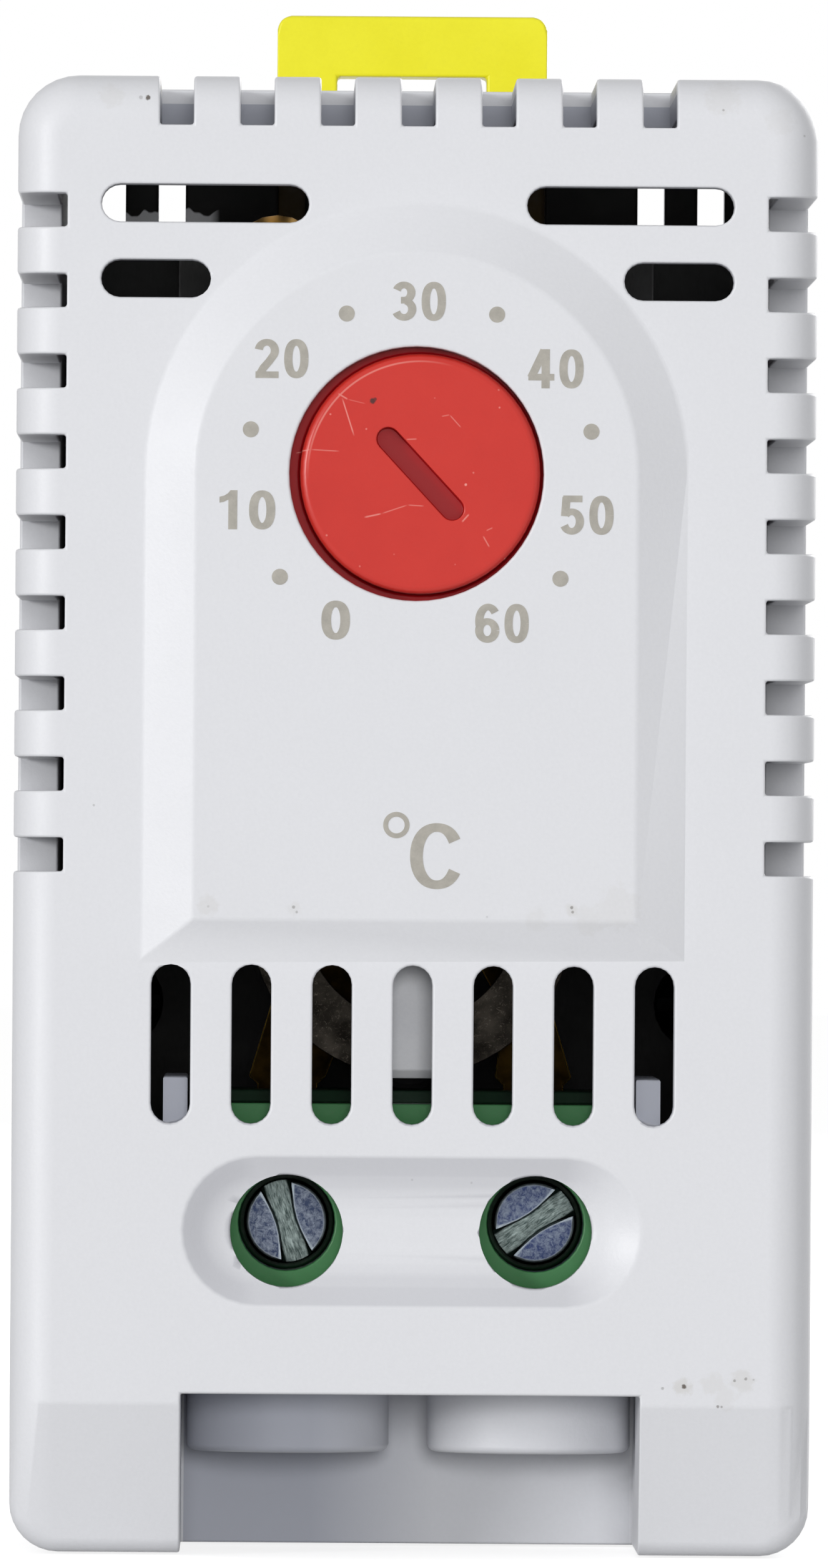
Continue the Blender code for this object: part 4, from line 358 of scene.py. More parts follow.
def housing_plastic(name, shade_painted_inside=False):
    """Flame-retardant ABS blend, injection moulded in a spark-eroded tool: matt, with a grain of 0.15 mm."""
    material, tree, shader, place = new_material(name, IOR=1.53)
    cloud = add_node(tree, "ShaderNodeTexNoise", {}, [place, 0.16, 3.0, 0.55])
    grain = add_node(tree, "ShaderNodeTexNoise", {}, [place, 6.5, 2.0, 0.6])
    x, y, z = add_node(tree, "ShaderNodeSeparateXYZ", {}, [place]).outputs
    colour = add_node(tree, "ShaderNodeMix", COLOURS, [cloud, "DFE0E4", "E2E3E7"])
    colour = add_node(tree, "ShaderNodeMix", COLOURS,
                      [add_node(tree, "ShaderNodeMapRange", {}, [grain, 0.3, 0.7, 0.0, 0.12]), colour, "CFD0D4"])
    if not shade_painted_inside:
        colour = add_node(tree, "ShaderNodeMix", COLOURS, [marks(tree, place, STAINS, 3.5, 1.6), colour, "A39A80"])
        colour = add_node(tree, "ShaderNodeMix", COLOURS, [marks(tree, place, SPECKS, 9.0, 0.9), colour, "4A3F33"])
    behind, basin = painted_recess_shade(tree, x, y, z)
    # Painted shade: a greyer tone behind the face and on the slopes of the basin.
    colour = add_node(tree, "ShaderNodeMix", COLOURS, [behind, colour, "B4B7C1"])
    colour = add_node(tree, "ShaderNodeMix", COLOURS, [basin, colour, "BDBEC4"])
    # The inner side of the rear wall is painted black as shade.
    if shade_painted_inside:
        colour = add_node(tree, "ShaderNodeMix", COLOURS, [painted_shade_back_wall(tree, x, y, z), colour, "0E0D0C"])
    dress(tree, shader, colour, add_node(tree, "ShaderNodeMapRange", {}, [cloud, 0.3, 0.7, 0.40, 0.50]),
          grain, 0.35, 0.02)
    return material


HOUSING = housing_plastic("light_grey_moulded_abs")
REAR = housing_plastic("light_grey_moulded_abs_shade_painted_inside", shade_painted_inside=True)
print(HOUSING.name, "nodes:", len(HOUSING.node_tree.nodes))

# %% [markdown]
# ## Red dial plastic
# The knob is moulded in red and turned with a screwdriver, so it is scratched: a few short light lines cross it, and
# light dots sit between. A thin highlight is painted just inside its rim, brightest at the upper left where the light
# comes from. A scratch is a thin box in coordinates turned to lie along it. The slot and the flange below the face get
# less light and read as a deeper red.

# %% Dial finish
DIAL_X, DIAL_Z, DIAL_FACE = 0.15, 44.3, -21.4
# A painted highlight runs 0.3 mm inside the rim, and fades away from the upper left, where the light comes from.
RIM_HIGHLIGHT_RADIUS = 4.60
UPPER_LEFT = (-0.62, 0.0, 0.78)


def thin_lines(tree, place, lines):
    """Mask of straight scratches (x, z of both ends, width in mm, strength) seen along Y."""
    masks = []
    for x0, z0, x1, z1, width, strength in lines:
        length = math.hypot(x1 - x0, z1 - z0)
        turned = add_node(tree, "ShaderNodeMapping", {"vector_type": "TEXTURE"}, {
            "Vector": place, "Location": ((x0 + x1) / 2, 0, (z0 + z1) / 2),
            "Rotation": (0, math.atan2(z0 - z1, x1 - x0), 0)})
        along, _, across = add_node(tree, "ShaderNodeSeparateXYZ", {}, [turned.outputs["Vector"]]).outputs
        along, across = [add_node(tree, "ShaderNodeMath", {"operation": "ABSOLUTE"}, [one]) for one in (along, across)]
        ends = add_node(tree, "ShaderNodeMapRange", {}, [along, length * 0.35, length * 0.5, strength, 0.0])
        line = add_node(tree, "ShaderNodeMapRange", {}, [across, width * 0.25, width * 0.5, 1.0, 0.0])
        masks.append(combined(tree, "MULTIPLY", [ends, line]))
    return combined(tree, "MAXIMUM", masks)


# Scratches on the knob: x and z of both ends and width in millimetres, and strength.
SCRATCHES = [(-3.07, 47.39, -2.56, 45.81, 0.07, 0.6), (-3.24, 47.56, -2.83, 47.32, 0.08, 0.5),
             (-2.83, 47.32, -2.10, 47.15, 0.05, 0.25), (-4.95, 45.15, -4.35, 45.26, 0.06, 0.5),
             (-4.35, 45.26, -3.15, 45.20, 0.06, 0.4), (-2.14, 42.50, -1.42, 42.66, 0.08, 0.55),
             (-1.42, 42.66, -0.36, 43.02, 0.06, 0.4), (-0.36, 43.02, 0.32, 42.98, 0.06, 0.4),
             (1.00, 46.65, 1.33, 46.72, 0.06, 0.35), (1.33, 46.72, 1.81, 46.19, 0.06, 0.4),
             (2.73, 41.78, 3.00, 41.31, 0.07, 0.45), (3.13, 42.12, 2.86, 41.99, 0.06, 0.4),
             (-0.44, 45.70, 0.01, 45.72, 0.07, 0.4), (1.86, 42.33, 2.16, 42.67, 0.08, 0.55)]
# Light nicks and one dark speck: x, z and radius in millimetres, and strength.
NICKS = [(2.01, 43.87, 0.07, 0.8), (-3.54, 46.71, 0.05, 0.5), (-2.07, 46.12, 0.05, 0.5),
         (-3.66, 41.76, 0.05, 0.5), (-2.30, 40.50, 0.05, 0.4), (3.37, 47.03, 0.05, 0.5),
         (3.33, 47.75, 0.05, 0.4), (3.64, 40.85, 0.05, 0.5), (2.32, 44.36, 0.05, 0.4),
         (0.72, 47.4, 0.04, 0.3), (-0.9, 41.0, 0.04, 0.3), (1.6, 40.6, 0.04, 0.3)]
DARK_SPECK = [(-1.82, 47.27, 0.15, 0.95), (-1.72, 47.33, 0.09, 0.8)]


def red_plastic():
    """Red moulded polyamide, satin, scratched by use: the scratches are lighter and duller than the rest."""
    material, tree, shader, place = new_material("red_moulded_polyamide", IOR=1.53)
    cloud = add_node(tree, "ShaderNodeTexNoise", {}, [place, 0.35, 3.0])
    grain = add_node(tree, "ShaderNodeTexNoise", {}, [place, 8.0, 3.0])
    depth = add_node(tree, "ShaderNodeSeparateXYZ", {}, [place]).outputs["Y"]
    deep = add_node(tree, "ShaderNodeMapRange", {}, [depth, DIAL_FACE + 0.15, DIAL_FACE + 0.60])
    colour = add_node(tree, "ShaderNodeMix", COLOURS, [cloud, "C0241B", "CE3024"])
    colour = add_node(tree, "ShaderNodeMix", COLOURS, [deep, colour, "A60812"])
    hub = add_node(tree, "ShaderNodeVectorMath", {"operation": "SUBTRACT"}, [place, (DIAL_X, 0, DIAL_Z)])
    flat = add_node(tree, "ShaderNodeVectorMath", {"operation": "MULTIPLY"}, [hub, FRONT_ONLY])
    radius = add_node(tree, "ShaderNodeVectorMath", {"operation": "LENGTH"}, [flat])
    off = add_node(tree, "ShaderNodeMath", {"operation": "SUBTRACT"}, [radius, RIM_HIGHLIGHT_RADIUS])
    off = add_node(tree, "ShaderNodeMath", {"operation": "ABSOLUTE"}, [off])
    line = add_node(tree, "ShaderNodeMapRange", {}, [off, 0.02, 0.05, 0.45, 0.0])
    toward = add_node(tree, "ShaderNodeVectorMath", {"operation": "DOT_PRODUCT"}, [flat, UPPER_LEFT])
    rim_highlight = combined(tree, "MULTIPLY", [line, add_node(tree, "ShaderNodeMapRange", {}, [toward, 2.6, 4.2])])
    # The line inside the rim is a painted highlight; the scratches and nicks are wear. All of them are lighter and
    # duller than the rest.
    scratches_and_rim_highlight = combined(tree, "MAXIMUM", [
        rim_highlight, thin_lines(tree, place, SCRATCHES), marks(tree, place, NICKS, 9.0, 0.6)])
    colour = add_node(tree, "ShaderNodeMix", COLOURS, [scratches_and_rim_highlight, colour, "F0A49A"])
    colour = add_node(tree, "ShaderNodeMix", COLOURS, [marks(tree, place, DARK_SPECK, 9.0, 0.8), colour, "33100E"])
    dress(tree, shader, colour, add_node(tree, "ShaderNodeMapRange", {}, [scratches_and_rim_highlight, 0.0, 1.0, 0.34, 0.60]),
          grain, 0.25, 0.01)
    return material


RED = red_plastic()
print(RED.name, "scratches:", len(SCRATCHES))

# %% [markdown]
# ## The other moulded plastics
# The latch is yellow, the terminal block green, the carrier inside is black with glass fibre in it, a black that also
# stands in for the shade inside the housing, and the lever and the push pin are natural nylon, slightly see-through at
# the edges. They share one recipe: two near tones mixed by a soft cloud, and a fine relief. Yellow and green are
# painted darker as shade where they lie inside the housing.

# %% Moulded plastics
def moulded(name, low, high, cloud_mm, grain_mm, depth_mm, rough, stretch=(1, 1, 1), painted_inner_shade=None, **constants):
    """Moulded plastic of two near tones: cloud and grain are sizes in millimetres, rough is its range.

    painted_inner_shade is a colour painted as shade on the part that lies deep inside, and what tells it: an axis, and
    two values in mm.
    """
    material, tree, shader, place = new_material(name, IOR=1.53, **constants)
    drawn = add_node(tree, "ShaderNodeMapping", inputs={"Vector": place, "Scale": stretch})
    cloud = add_node(tree, "ShaderNodeTexNoise", {}, [place, 1 / cloud_mm, 3.0])
    grain = add_node(tree, "ShaderNodeTexNoise", {}, [drawn.outputs["Vector"], 1 / grain_mm, 3.0, 0.6])
    tone = add_node(tree, "ShaderNodeMath", {"operation": "MULTIPLY_ADD"}, [grain, 0.4, cloud])
    colour = add_node(tree, "ShaderNodeMix", COLOURS,
                      [add_node(tree, "ShaderNodeMapRange", {}, [tone, 0.45, 0.95]), low, high])
    if painted_inner_shade:
        dark, axis, unshaded_at, shaded_at = painted_inner_shade
        # Faces turned to the back get no painted shade: they are seen in the open, from behind.
        ahead = add_node(tree, "ShaderNodeMath", {"operation": "LESS_THAN"}, [normal_parts(tree)["Y"], 0.3])
        depth = add_node(tree, "ShaderNodeSeparateXYZ", {}, [place]).outputs[axis]
        depth = add_node(tree, "ShaderNodeMapRange", {}, [depth, unshaded_at, shaded_at])
        inside = combined(tree, "MULTIPLY", [depth, ahead])
        colour = add_node(tree, "ShaderNodeMix", COLOURS, [inside, colour, dark])
    dress(tree, shader, colour, add_node(tree, "ShaderNodeMapRange", {}, [grain, 0.3, 0.7, *rough]),
          grain, 0.4, depth_mm)
    return material


# Painted shade: the latch darkens below its top, and the terminal block behind its front face.
YELLOW = moulded("yellow_moulded_polyamide", "E7E016", "EEE826", 3.0, 0.14, 0.010, (0.32, 0.44),
                 painted_inner_shade=("3A2B08", "Z", 58.6, 57.6))
GREEN = moulded("green_moulded_polyamide", "2B6335", "366F41", 2.5, 0.14, 0.012, (0.38, 0.52),
                painted_inner_shade=("132A1B", "Y", -18.26, -18.12))
# The carrier's black also stands in for the shade inside the housing, as painted shade.
BLACK = moulded("black_glass_filled_polyamide", "101010", "1D1D1D", 2.0, 0.10, 0.015, (0.45, 0.62), (1, 1, 0.25))
NATURAL = moulded("natural_moulded_nylon", "DADBDF", "E6E7EA", 2.0, 0.12, 0.008, (0.36, 0.48),
                  Subsurface_Weight=0.12, Subsurface_Radius=(0.0012, 0.0011, 0.0010), Subsurface_Scale=1.0)
print("plastics:", [one.name for one in (YELLOW, GREEN, BLACK, NATURAL)])

# %% [markdown]
# ## Metals
# Sheet brass and spring steel are rolled, so their surface is drawn out along the strip; plated screws are blotchy;
# the bimetal blade has darkened and carries fine scratches. A metal's colour is its reflection, so the base colour is
# the metal's own and the roughness does the rest. The dull tone is laid on by a cloud of a millimetre or two. The
# straps inside are tarnished, and bare brass shows only on their cut edges, painted brighter than brass as the glint
# they catch. The steel of the carrier screws is painted black as shade.

# %% Metals
def metal(name, bright, dull, cloud_mm, grain_mm, stretch, rough, depth_mm=0.002, bare_edge_glint=None, flecks=None):
    """Metal with a drawn grain: stretch below 1 draws the grain out along that axis."""
    material, tree, shader, place = new_material(name, Metallic=1.0)
    drawn = add_node(tree, "ShaderNodeMapping", inputs={"Vector": place, "Scale": stretch})
    cloud = add_node(tree, "ShaderNodeTexNoise", {}, [place, 1 / cloud_mm, 4.0, 0.6])
    grain = add_node(tree, "ShaderNodeTexNoise", {}, [drawn.outputs["Vector"], 1 / grain_mm, 3.0])
    colour = add_node(tree, "ShaderNodeMix", COLOURS,
                      [add_node(tree, "ShaderNodeMapRange", {}, [cloud, 0.35, 0.65]), bright, dull])
    if flecks:
        # Scratches of about 0.15 mm, curled by the distortion.
        fine = add_node(tree, "ShaderNodeTexNoise", {}, [place, 7.0, 5.0, 0.75, LACUNARITY, 1.2])
        colour = add_node(tree, "ShaderNodeMix", COLOURS,
                          [add_node(tree, "ShaderNodeMapRange", {}, [fine, 0.56, 0.66]), colour, flecks])
    if bare_edge_glint:
        # Cut edges that face sideways are bare brass, painted bright as a glint.
        facing = add_node(tree, "ShaderNodeMath", {"operation": "ABSOLUTE"}, [normal_parts(tree)["Y"]])
        facing = add_node(tree, "ShaderNodeMapRange", {}, [facing, 0.86, 0.97])
        colour = add_node(tree, "ShaderNodeMix", COLOURS, [facing, bare_edge_glint, colour])
    wear = add_node(tree, "ShaderNodeMath", {"operation": "MULTIPLY_ADD"}, [grain, 0.5, cloud])
    dress(tree, shader, colour, add_node(tree, "ShaderNodeMapRange", {}, [wear, 0.45, 1.05, *rough]),
          grain, 0.5, depth_mm)
    return material


BRASS = metal("rolled_brass", "C9A25A", "A67C3A", 1.6, 0.10, (1, 1, 0.15), (0.24, 0.42))
ZINC = metal("zinc_plated_steel", "A9B0B8", "7F868F", 0.9, 0.12, (1, 1, 1), (0.26, 0.48), 0.004)
SPRING_STEEL = metal("rolled_spring_steel", "A8AAAE", "8C8E92", 2.0, 0.08, (1, 1, 0.12), (0.22, 0.38))
BIMETAL = metal("aged_bimetal_strip", "5E5850", "38342F", 1.2, 0.09, (0.15, 1, 1), (0.40, 0.60), 0.004,
                flecks="8A8276")
TARNISHED = metal("tarnished_rolled_brass", "3A2B10", "120D06", 1.6, 0.10, (1, 1, 0.15), (0.38, 0.55),
                  bare_edge_glint="E6BC5C")
# Painted shade: the carrier screws are black so that they read as the shade inside the housing.
SHADE_BLACK_STEEL = metal("steel_painted_black_as_shade", "1C1C1E", "101011", 0.9, 0.12, (1, 1, 1), (0.45, 0.60))
SILVER = metal("silver_alloy_contact", "DAD9D5", "B4B2AC", 0.8, 0.10, (1, 1, 1), (0.20, 0.40))
print("metals:", [one.name for one in (BRASS, ZINC, SPRING_STEEL, BIMETAL, TARNISHED, SHADE_BLACK_STEEL, SILVER)])

# %% [markdown]
# ## Heads of the terminal screws
# The two heads are the most detailed metal that the picture shows. Bluish zinc on the two raised lands is scuffed by
# screwdrivers, and the slot's floor is scraped bright along its middle; the corners beside that band are painted black
# as shade. A line of 0.09 mm along each land's edges is a painted highlight, and outside it the head falls off into a
# chamfer painted dark as shade. Coordinates turned with the slot say where each of these lies, and the depth tells
# land from floor.

# %% Scuffed screw heads
# In millimetres: the circle of the head's rim, inside which a highlight is painted and outside which the chamfer is
# painted dark as shade, the slot's half width at its waist and how it grows with the square of the way along the slot,
# and the scraped band's half width.
HEAD_RIM_RADIUS = 1.62
WAIST, FLARE = 0.40, 0.147
BAND = (0.42, 0.50)


def scuffed_head(name, centre, lean, front, land):
    """Blue-passivated zinc on a slotted head, with painted highlight and painted shade: its centre x, z, the slot's
    lean and the head's front in mm.
    """
    material, tree, shader, place = new_material(name, Metallic=1.0)
    local = add_node(tree, "ShaderNodeMapping", {"vector_type": "TEXTURE"}, {
        "Vector": place, "Location": (centre[0], 0, centre[1]),
        "Rotation": (0, math.radians(lean), 0)}).outputs["Vector"]
    x, y, z = add_node(tree, "ShaderNodeSeparateXYZ", {}, [local]).outputs
    across = add_node(tree, "ShaderNodeMath", {"operation": "ABSOLUTE"}, [x])
    # Scrapes along the slot are 0.08 mm wide, and scuffs on the lands about 0.2 mm across.
    drawn = add_node(tree, "ShaderNodeMapping", inputs={"Vector": local, "Scale": (1, 1, 0.16)})
    scrapes = add_node(tree, "ShaderNodeTexNoise", {}, [drawn.outputs["Vector"], 12.0, 4.0, 0.7])
    scuffs = add_node(tree, "ShaderNodeTexNoise", {}, [place, 4.5, 6.0, 0.8, LACUNARITY, 0.5])
    band = add_node(tree, "ShaderNodeMix", COLOURS,
                    [add_node(tree, "ShaderNodeMapRange", {}, [scrapes, 0.36, 0.66]), "3E4D4B", "B0BFBC"])
    # The slot's corners beside the scraped band are painted black as shade.
    ground = add_node(tree, "ShaderNodeMix", COLOURS,
                      [add_node(tree, "ShaderNodeMapRange", {}, [across, *BAND, 1.0, 0.0]), "0D1512", band])
    slot_half = add_node(tree, "ShaderNodeMath", {"operation": "MULTIPLY_ADD"},
                         [add_node(tree, "ShaderNodeMath", {"operation": "MULTIPLY"}, [z, z]), FLARE, WAIST])
    radius = add_node(tree, "ShaderNodeVectorMath", {"operation": "LENGTH"},
                      [add_node(tree, "ShaderNodeVectorMath", {"operation": "MULTIPLY"}, [local, FRONT_ONLY])])
    from_circle = add_node(tree, "ShaderNodeMath", {"operation": "SUBTRACT"}, [HEAD_RIM_RADIUS, radius])
    from_edge = add_node(tree, "ShaderNodeMath", {"operation": "MINIMUM"},
                         [add_node(tree, "ShaderNodeMath", {"operation": "SUBTRACT"}, [across, slot_half]),
                          from_circle])
    top = add_node(tree, "ShaderNodeMix", COLOURS,
                   [add_node(tree, "ShaderNodeMapRange", {}, [scuffs, 0.42, 0.70]), *land])
    # A line along the lands' edges is a painted highlight.
    top = add_node(tree, "ShaderNodeMix", COLOURS,
                   [add_node(tree, "ShaderNodeMapRange", {}, [from_edge, 0.05, 0.11, 1.0, 0.0]), top, "B7C2CC"])
    # Outside the rim the chamfer is painted dark as shade.
    top = add_node(tree, "ShaderNodeMix", COLOURS,
                   [add_node(tree, "ShaderNodeMapRange", {}, [from_circle, -0.03, 0.0, 1.0, 0.0]), top, "0F1716"])
    colour = add_node(tree, "ShaderNodeMix", COLOURS,
                      [add_node(tree, "ShaderNodeMapRange", {}, [y, front + 0.25, front + 0.60]), top, ground])
    dress(tree, shader, colour, add_node(tree, "ShaderNodeMapRange", {}, [scuffs, 0.35, 0.65, 0.28, 0.50]),
          add_node(tree, "ShaderNodeMath", {"operation": "ADD"}, [scuffs, scrapes]), 0.6, 0.01)
    return material


HEADS = {}
for side, lean, land in (("left", -17.0, ("3C4660", "B4BECE")), ("right", 56.0, ("38436A", "AAB6C8"))):
    low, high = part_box("terminal_screw_" + side)
    centre = ((low[0] + high[0]) * 500, (low[2] + high[2]) * 500)
    HEADS[side] = scuffed_head("blue_zinc_plated_head_" + side, centre, lean, low[1] * 1000, land)
    print(HEADS[side].name, "centre", [round(value, 2) for value in centre], "front", round(low[1] * 1000, 2))

# %% [markdown]
# ## Ferrite and printing ink
# The snap magnet is sintered ferrite, a dark ceramic with a granular broken-looking surface. The scale is pad
# printed: a thin grey ink that covers a little unevenly, so the housing's tone comes through in places.

# %% Ferrite and ink
FERRITE = moulded("sintered_ferrite", "1E1E20", "323235", 0.6, 0.05, 0.020, (0.45, 0.65))
INK = moulded("grey_pad_printing_ink", "9F9B93", "B3AFA6", 0.5, 0.07, 0.004, (0.40, 0.52))
print("others:", FERRITE.name, INK.name)

# %% [markdown]
# ## Moulded and machined edges
# The solids have knife edges. Real mouldings and stampings have edges rounded by about a tenth of a millimetre,
# and those catch the light along the bevels and vents. A copy of each solid is merged, and its sharp edges are
# bevelled with a weight of their own: where another edge runs close by, the bevel is narrower. A large face
# with many cut-outs can still be folded over by a bevel, so each result is tried: edges next to a fold stay
# sharp in the next round. The copy stands for the solid, which stays hidden for the collision model.

# %% Finishes and edge sizes
FINISHES = {
    "housing_plastic": HOUSING, "yellow_plastic": YELLOW, "red_plastic": RED, "green_plastic": GREEN,
    "black_plastic": BLACK, "natural_plastic": NATURAL, "brass": BRASS, "zinc_plate": ZINC,
    "spring_steel": SPRING_STEEL, "bimetal": BIMETAL, "silver": SILVER, "ferrite": FERRITE}
# A few solids share a slot but not a finish: screws painted black as shade, tarnished straps with a painted glint on
# their cut edges, heads scuffed and with painted highlight and shade, and the inside painted black as shade.
OWN_FINISH = {
    "rear_housing": REAR, "carrier_screw_left": SHADE_BLACK_STEEL, "carrier_screw_right": SHADE_BLACK_STEEL,
    "contact_strap_left": TARNISHED, "contact_strap_right": TARNISHED,
    "terminal_screw_left": HEADS["left"], "terminal_screw_right": HEADS["right"]}
EDGE_MM = {"front_cover": 0.12, "rear_housing": 0.12, "rail_latch": 0.14, "dial_knob": 0.12,
           "terminal_block": 0.10, "switch_carrier": 0.10, "setting_lever": 0.06,
           "terminal_screw_left": 0.07, "terminal_screw_right": 0.07, "contact_strap_left": 0.08,
           "contact_strap_right": 0.08}
FINE_EDGE_MM = 0.04
# The panel's bevels turn by 26 degrees, and the coarsest round walls of the solids by 18 between two faces.
TURN = math.radians(20)
# A bevel takes at most this share of the way to the next edge, from either side.
SHARE = 0.45
# A bevel narrower than this share of its width is left out, and the edge stays sharp.
LEAST = 0.25
# Two segments turn a right angle in steps of 22 and 45 degrees.
CREASE = math.radians(50)
# Corners this close are one, and faces that turn by less than this are one face.
MERGE, FLAT = 2e-6, math.radians(0.8)
# A fold is a triangle above this area in m2 whose normal points against the solid's by this cosine.
SLIVER, AGAINST = 1e-10, -0.2
ROUNDS = 4


def plain_mesh(piece):
    """Turn a piece and its modifiers into one plain mesh, and take the modifiers off."""
    depsgraph = bpy.context.evaluated_depsgraph_get()
    mesh = bpy.data.meshes.new_from_object(piece.evaluated_get(depsgraph), depsgraph=depsgraph)
    piece.modifiers.clear()
    piece.data = mesh
    return piece


def joined_edges(edge, steps):
    """Edges that are joined to this one within some steps."""
    found, rim = {edge}, [edge]
    for _ in range(steps):
        rim = [other for one in rim for vertex in one.verts for other in vertex.link_edges if other not in found]
        found.update(rim)
    return found


def weigh_edges(form, width, keep_sharp):
    """Give each sharp edge the share of the bevel's width that it has room for: none near the places to keep."""
    layer = form.edges.layers.float.get("bevel_weight_edge") or form.edges.layers.float.new("bevel_weight_edge")
    edges = list(form.edges)
    turns = [edge.calc_face_angle(0) > TURN for edge in edges]
    samples = []
    for number, edge in enumerate(edges):
        one, two = edge.verts[0].co, edge.verts[1].co
        count = max(1, int((two - one).length / (width / 2)))
        samples += [(one.lerp(two, step / count), number) for step in range(count + 1)]
    tree = KDTree(len(samples))
    for step, (place, number) in enumerate(samples):
        tree.insert(place, step)
    tree.balance()
    room = {number: edge.calc_length() for number, edge in enumerate(edges)}
    near = {}
    for place, number in samples:
        if turns[number]:
            for _, step, gap in tree.find_range(place, width / SHARE):
                other = samples[step][1]
                if number not in near:
                    near[number] = joined_edges(edges[number], 3)
                if edges[other] not in near[number]:
                    room[number] = min(room[number], gap)
    shortest = {}
    for edge, turn in zip(edges, turns):
        for vertex in edge.verts if turn else ():
            shortest[vertex] = min(shortest.get(vertex, 1.0), edge.calc_length())
    for number, edge in enumerate(edges):
        if turns[number]:
            space = min([room[number]] + [shortest[vertex] for vertex in edge.verts])
            edge[layer] = min(1.0, SHARE * space / width)
    for place in keep_sharp:
        for _, step, _ in tree.find_range(place, 1.5 * width):
            edges[samples[step][1]][layer] = 0.0
    for edge, turn in zip(edges, turns):
        if edge[layer] < LEAST:
            edge[layer] = 0.0
        edge.smooth = not turn or edge[layer] > 0.0


def folds(mesh, surface):
    """Corners of the bevelled mesh's triangles that face against the solid's surface, and their area in mm2."""
    form = bmesh.new()
    form.from_mesh(mesh)
    bmesh.ops.triangulate(form, faces=form.faces)
    corners, area = [], 0.0
    for face in form.faces:
        normal = surface.find_nearest(face.calc_center_median())[1]
        if face.calc_area() > SLIVER and normal is not None and face.normal.dot(normal) < AGAINST:
            corners += [vertex.co.copy() for vertex in face.verts]
            area += face.calc_area() * 1e6
    form.free()
    return corners, area


def rounded_copy(node, slot, edge_mm):
    """Copy a solid with its loose triangles merged and its edges rounded, in its slot's finish."""
    form = bmesh.new()
    form.from_mesh(frame["nodes"][node].data)
    bmesh.ops.remove_doubles(form, verts=form.verts, dist=MERGE)
    surface = BVHTree.FromBMesh(form)
    bmesh.ops.dissolve_limit(form, angle_limit=FLAT, verts=form.verts, edges=form.edges)
    piece = add_piece(node + "_finished", bpy.data.meshes.new(node + "_sharp"))
    keep_sharp = []
    for attempt in range(ROUNDS):
        weigh_edges(form, edge_mm / 1000, keep_sharp)
        sharp_mesh = bpy.data.meshes.new(node + "_sharp")
        form.to_mesh(sharp_mesh)
        piece.data = sharp_mesh
        rounding = piece.modifiers.new("rounding", "BEVEL")
        rounding.limit_method = "WEIGHT"
        rounding.width = edge_mm / 1000
        rounding.segments = 2
        rounding.use_clamp_overlap = False
        rounding.miter_outer = "MITER_SHARP"
        rounding.loop_slide = False
        corners, area = folds(plain_mesh(piece).data, surface)
        if not corners:
            break
        keep_sharp += corners
    form.free()
    mesh = piece.data
    mesh.name = node + "_finished"
    # Shading is smooth over the rounded edges only: an edge with no room for rounding stays a crease.
    form = bmesh.new()
    form.from_mesh(mesh)
    for face in form.faces:
        face.smooth = True
    for edge in form.edges:
        edge.smooth = edge.smooth and edge.calc_face_angle(math.pi) < CREASE
    form.to_mesh(mesh)
    form.free()
    mesh.materials.clear()
    mesh.materials.append(OWN_FINISH.get(node, FINISHES[slot]))
    shading = piece.modifiers.new("shading", "WEIGHTED_NORMAL")
    shading.keep_sharp = True
    shading.weight = 80
    print("  %-22s rounds %d, folded %.3f mm2" % (node, attempt + 1, area))
    return plain_mesh(piece)


# %% Round the edges of every solid
rounded, triangles = 0, 0
for row in frame["record"]["subparts"]:
    node, slot = row["node"], row["material_slot"]
    if node == "latch_spring":
        continue
    piece = rounded_copy(node, slot, EDGE_MM.get(node, FINE_EDGE_MM))
    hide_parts(node)
    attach(piece, BODY_OF[node])
    rounded += 1
    triangles += sum(len(face.vertices) - 2 for face in piece.data.polygons)
print("rounded solids:", rounded, "triangles:", triangles)

# %% [markdown]
# ## The printed scale
# The scale runs clockwise from 0 to 60 with a dot half-way between the numbers, and a degree sign with a C
# stands below. The lettering is a plain bold sans, printed with a pad. Each character is drawn here as strokes
# of a broad pen, thicker across than up, as such letters are. Where strokes overlap, a constrained
# triangulation merges them into one outline, and the outline is given the ink's thickness.

# %% Strokes of the pen
INK_MM = 0.02
# The ink stands proud of the panel by most of its thickness, and its back is sunk into the panel.
PROUD_MM, SUNK_MM = INK_MM * 0.9, 0.1
PANEL_Y = CAD_BOX[0][1]


def bow(centre_x, centre_y, reach_x, reach_y, start, end, square=2.0, steps=28):
    """Points on an ellipse from one angle to another in degrees; square above 2 makes its shoulders fuller."""
    points = []
    for step in range(steps + 1):
        turn = math.radians(start + (end - start) * step / steps)
        c, s = math.cos(turn), math.sin(turn)
        points.append((centre_x + reach_x * math.copysign(abs(c) ** (2 / square), c),
                       centre_y + reach_y * math.copysign(abs(s) ** (2 / square), s)))
    return points


def pen_stroke(points, pen):
    """Quads along a path, as wide as an elliptical pen of half width pen[0] and half height pen[1] draws it."""
    sides = []
    for at, (x, y) in enumerate(points):
        before, after = points[max(at - 1, 0)], points[min(at + 1, len(points) - 1)]
        along = Vector((after[0] - before[0], after[1] - before[1])).normalized()
        half = math.hypot(pen[0] * along.y, pen[1] * along.x)
        sides.append(((x - along.y * half, y + along.x * half), (x + along.y * half, y - along.x * half)))
    return [(one[0], one[1], two[1], two[0]) for one, two in zip(sides, sides[1:])]


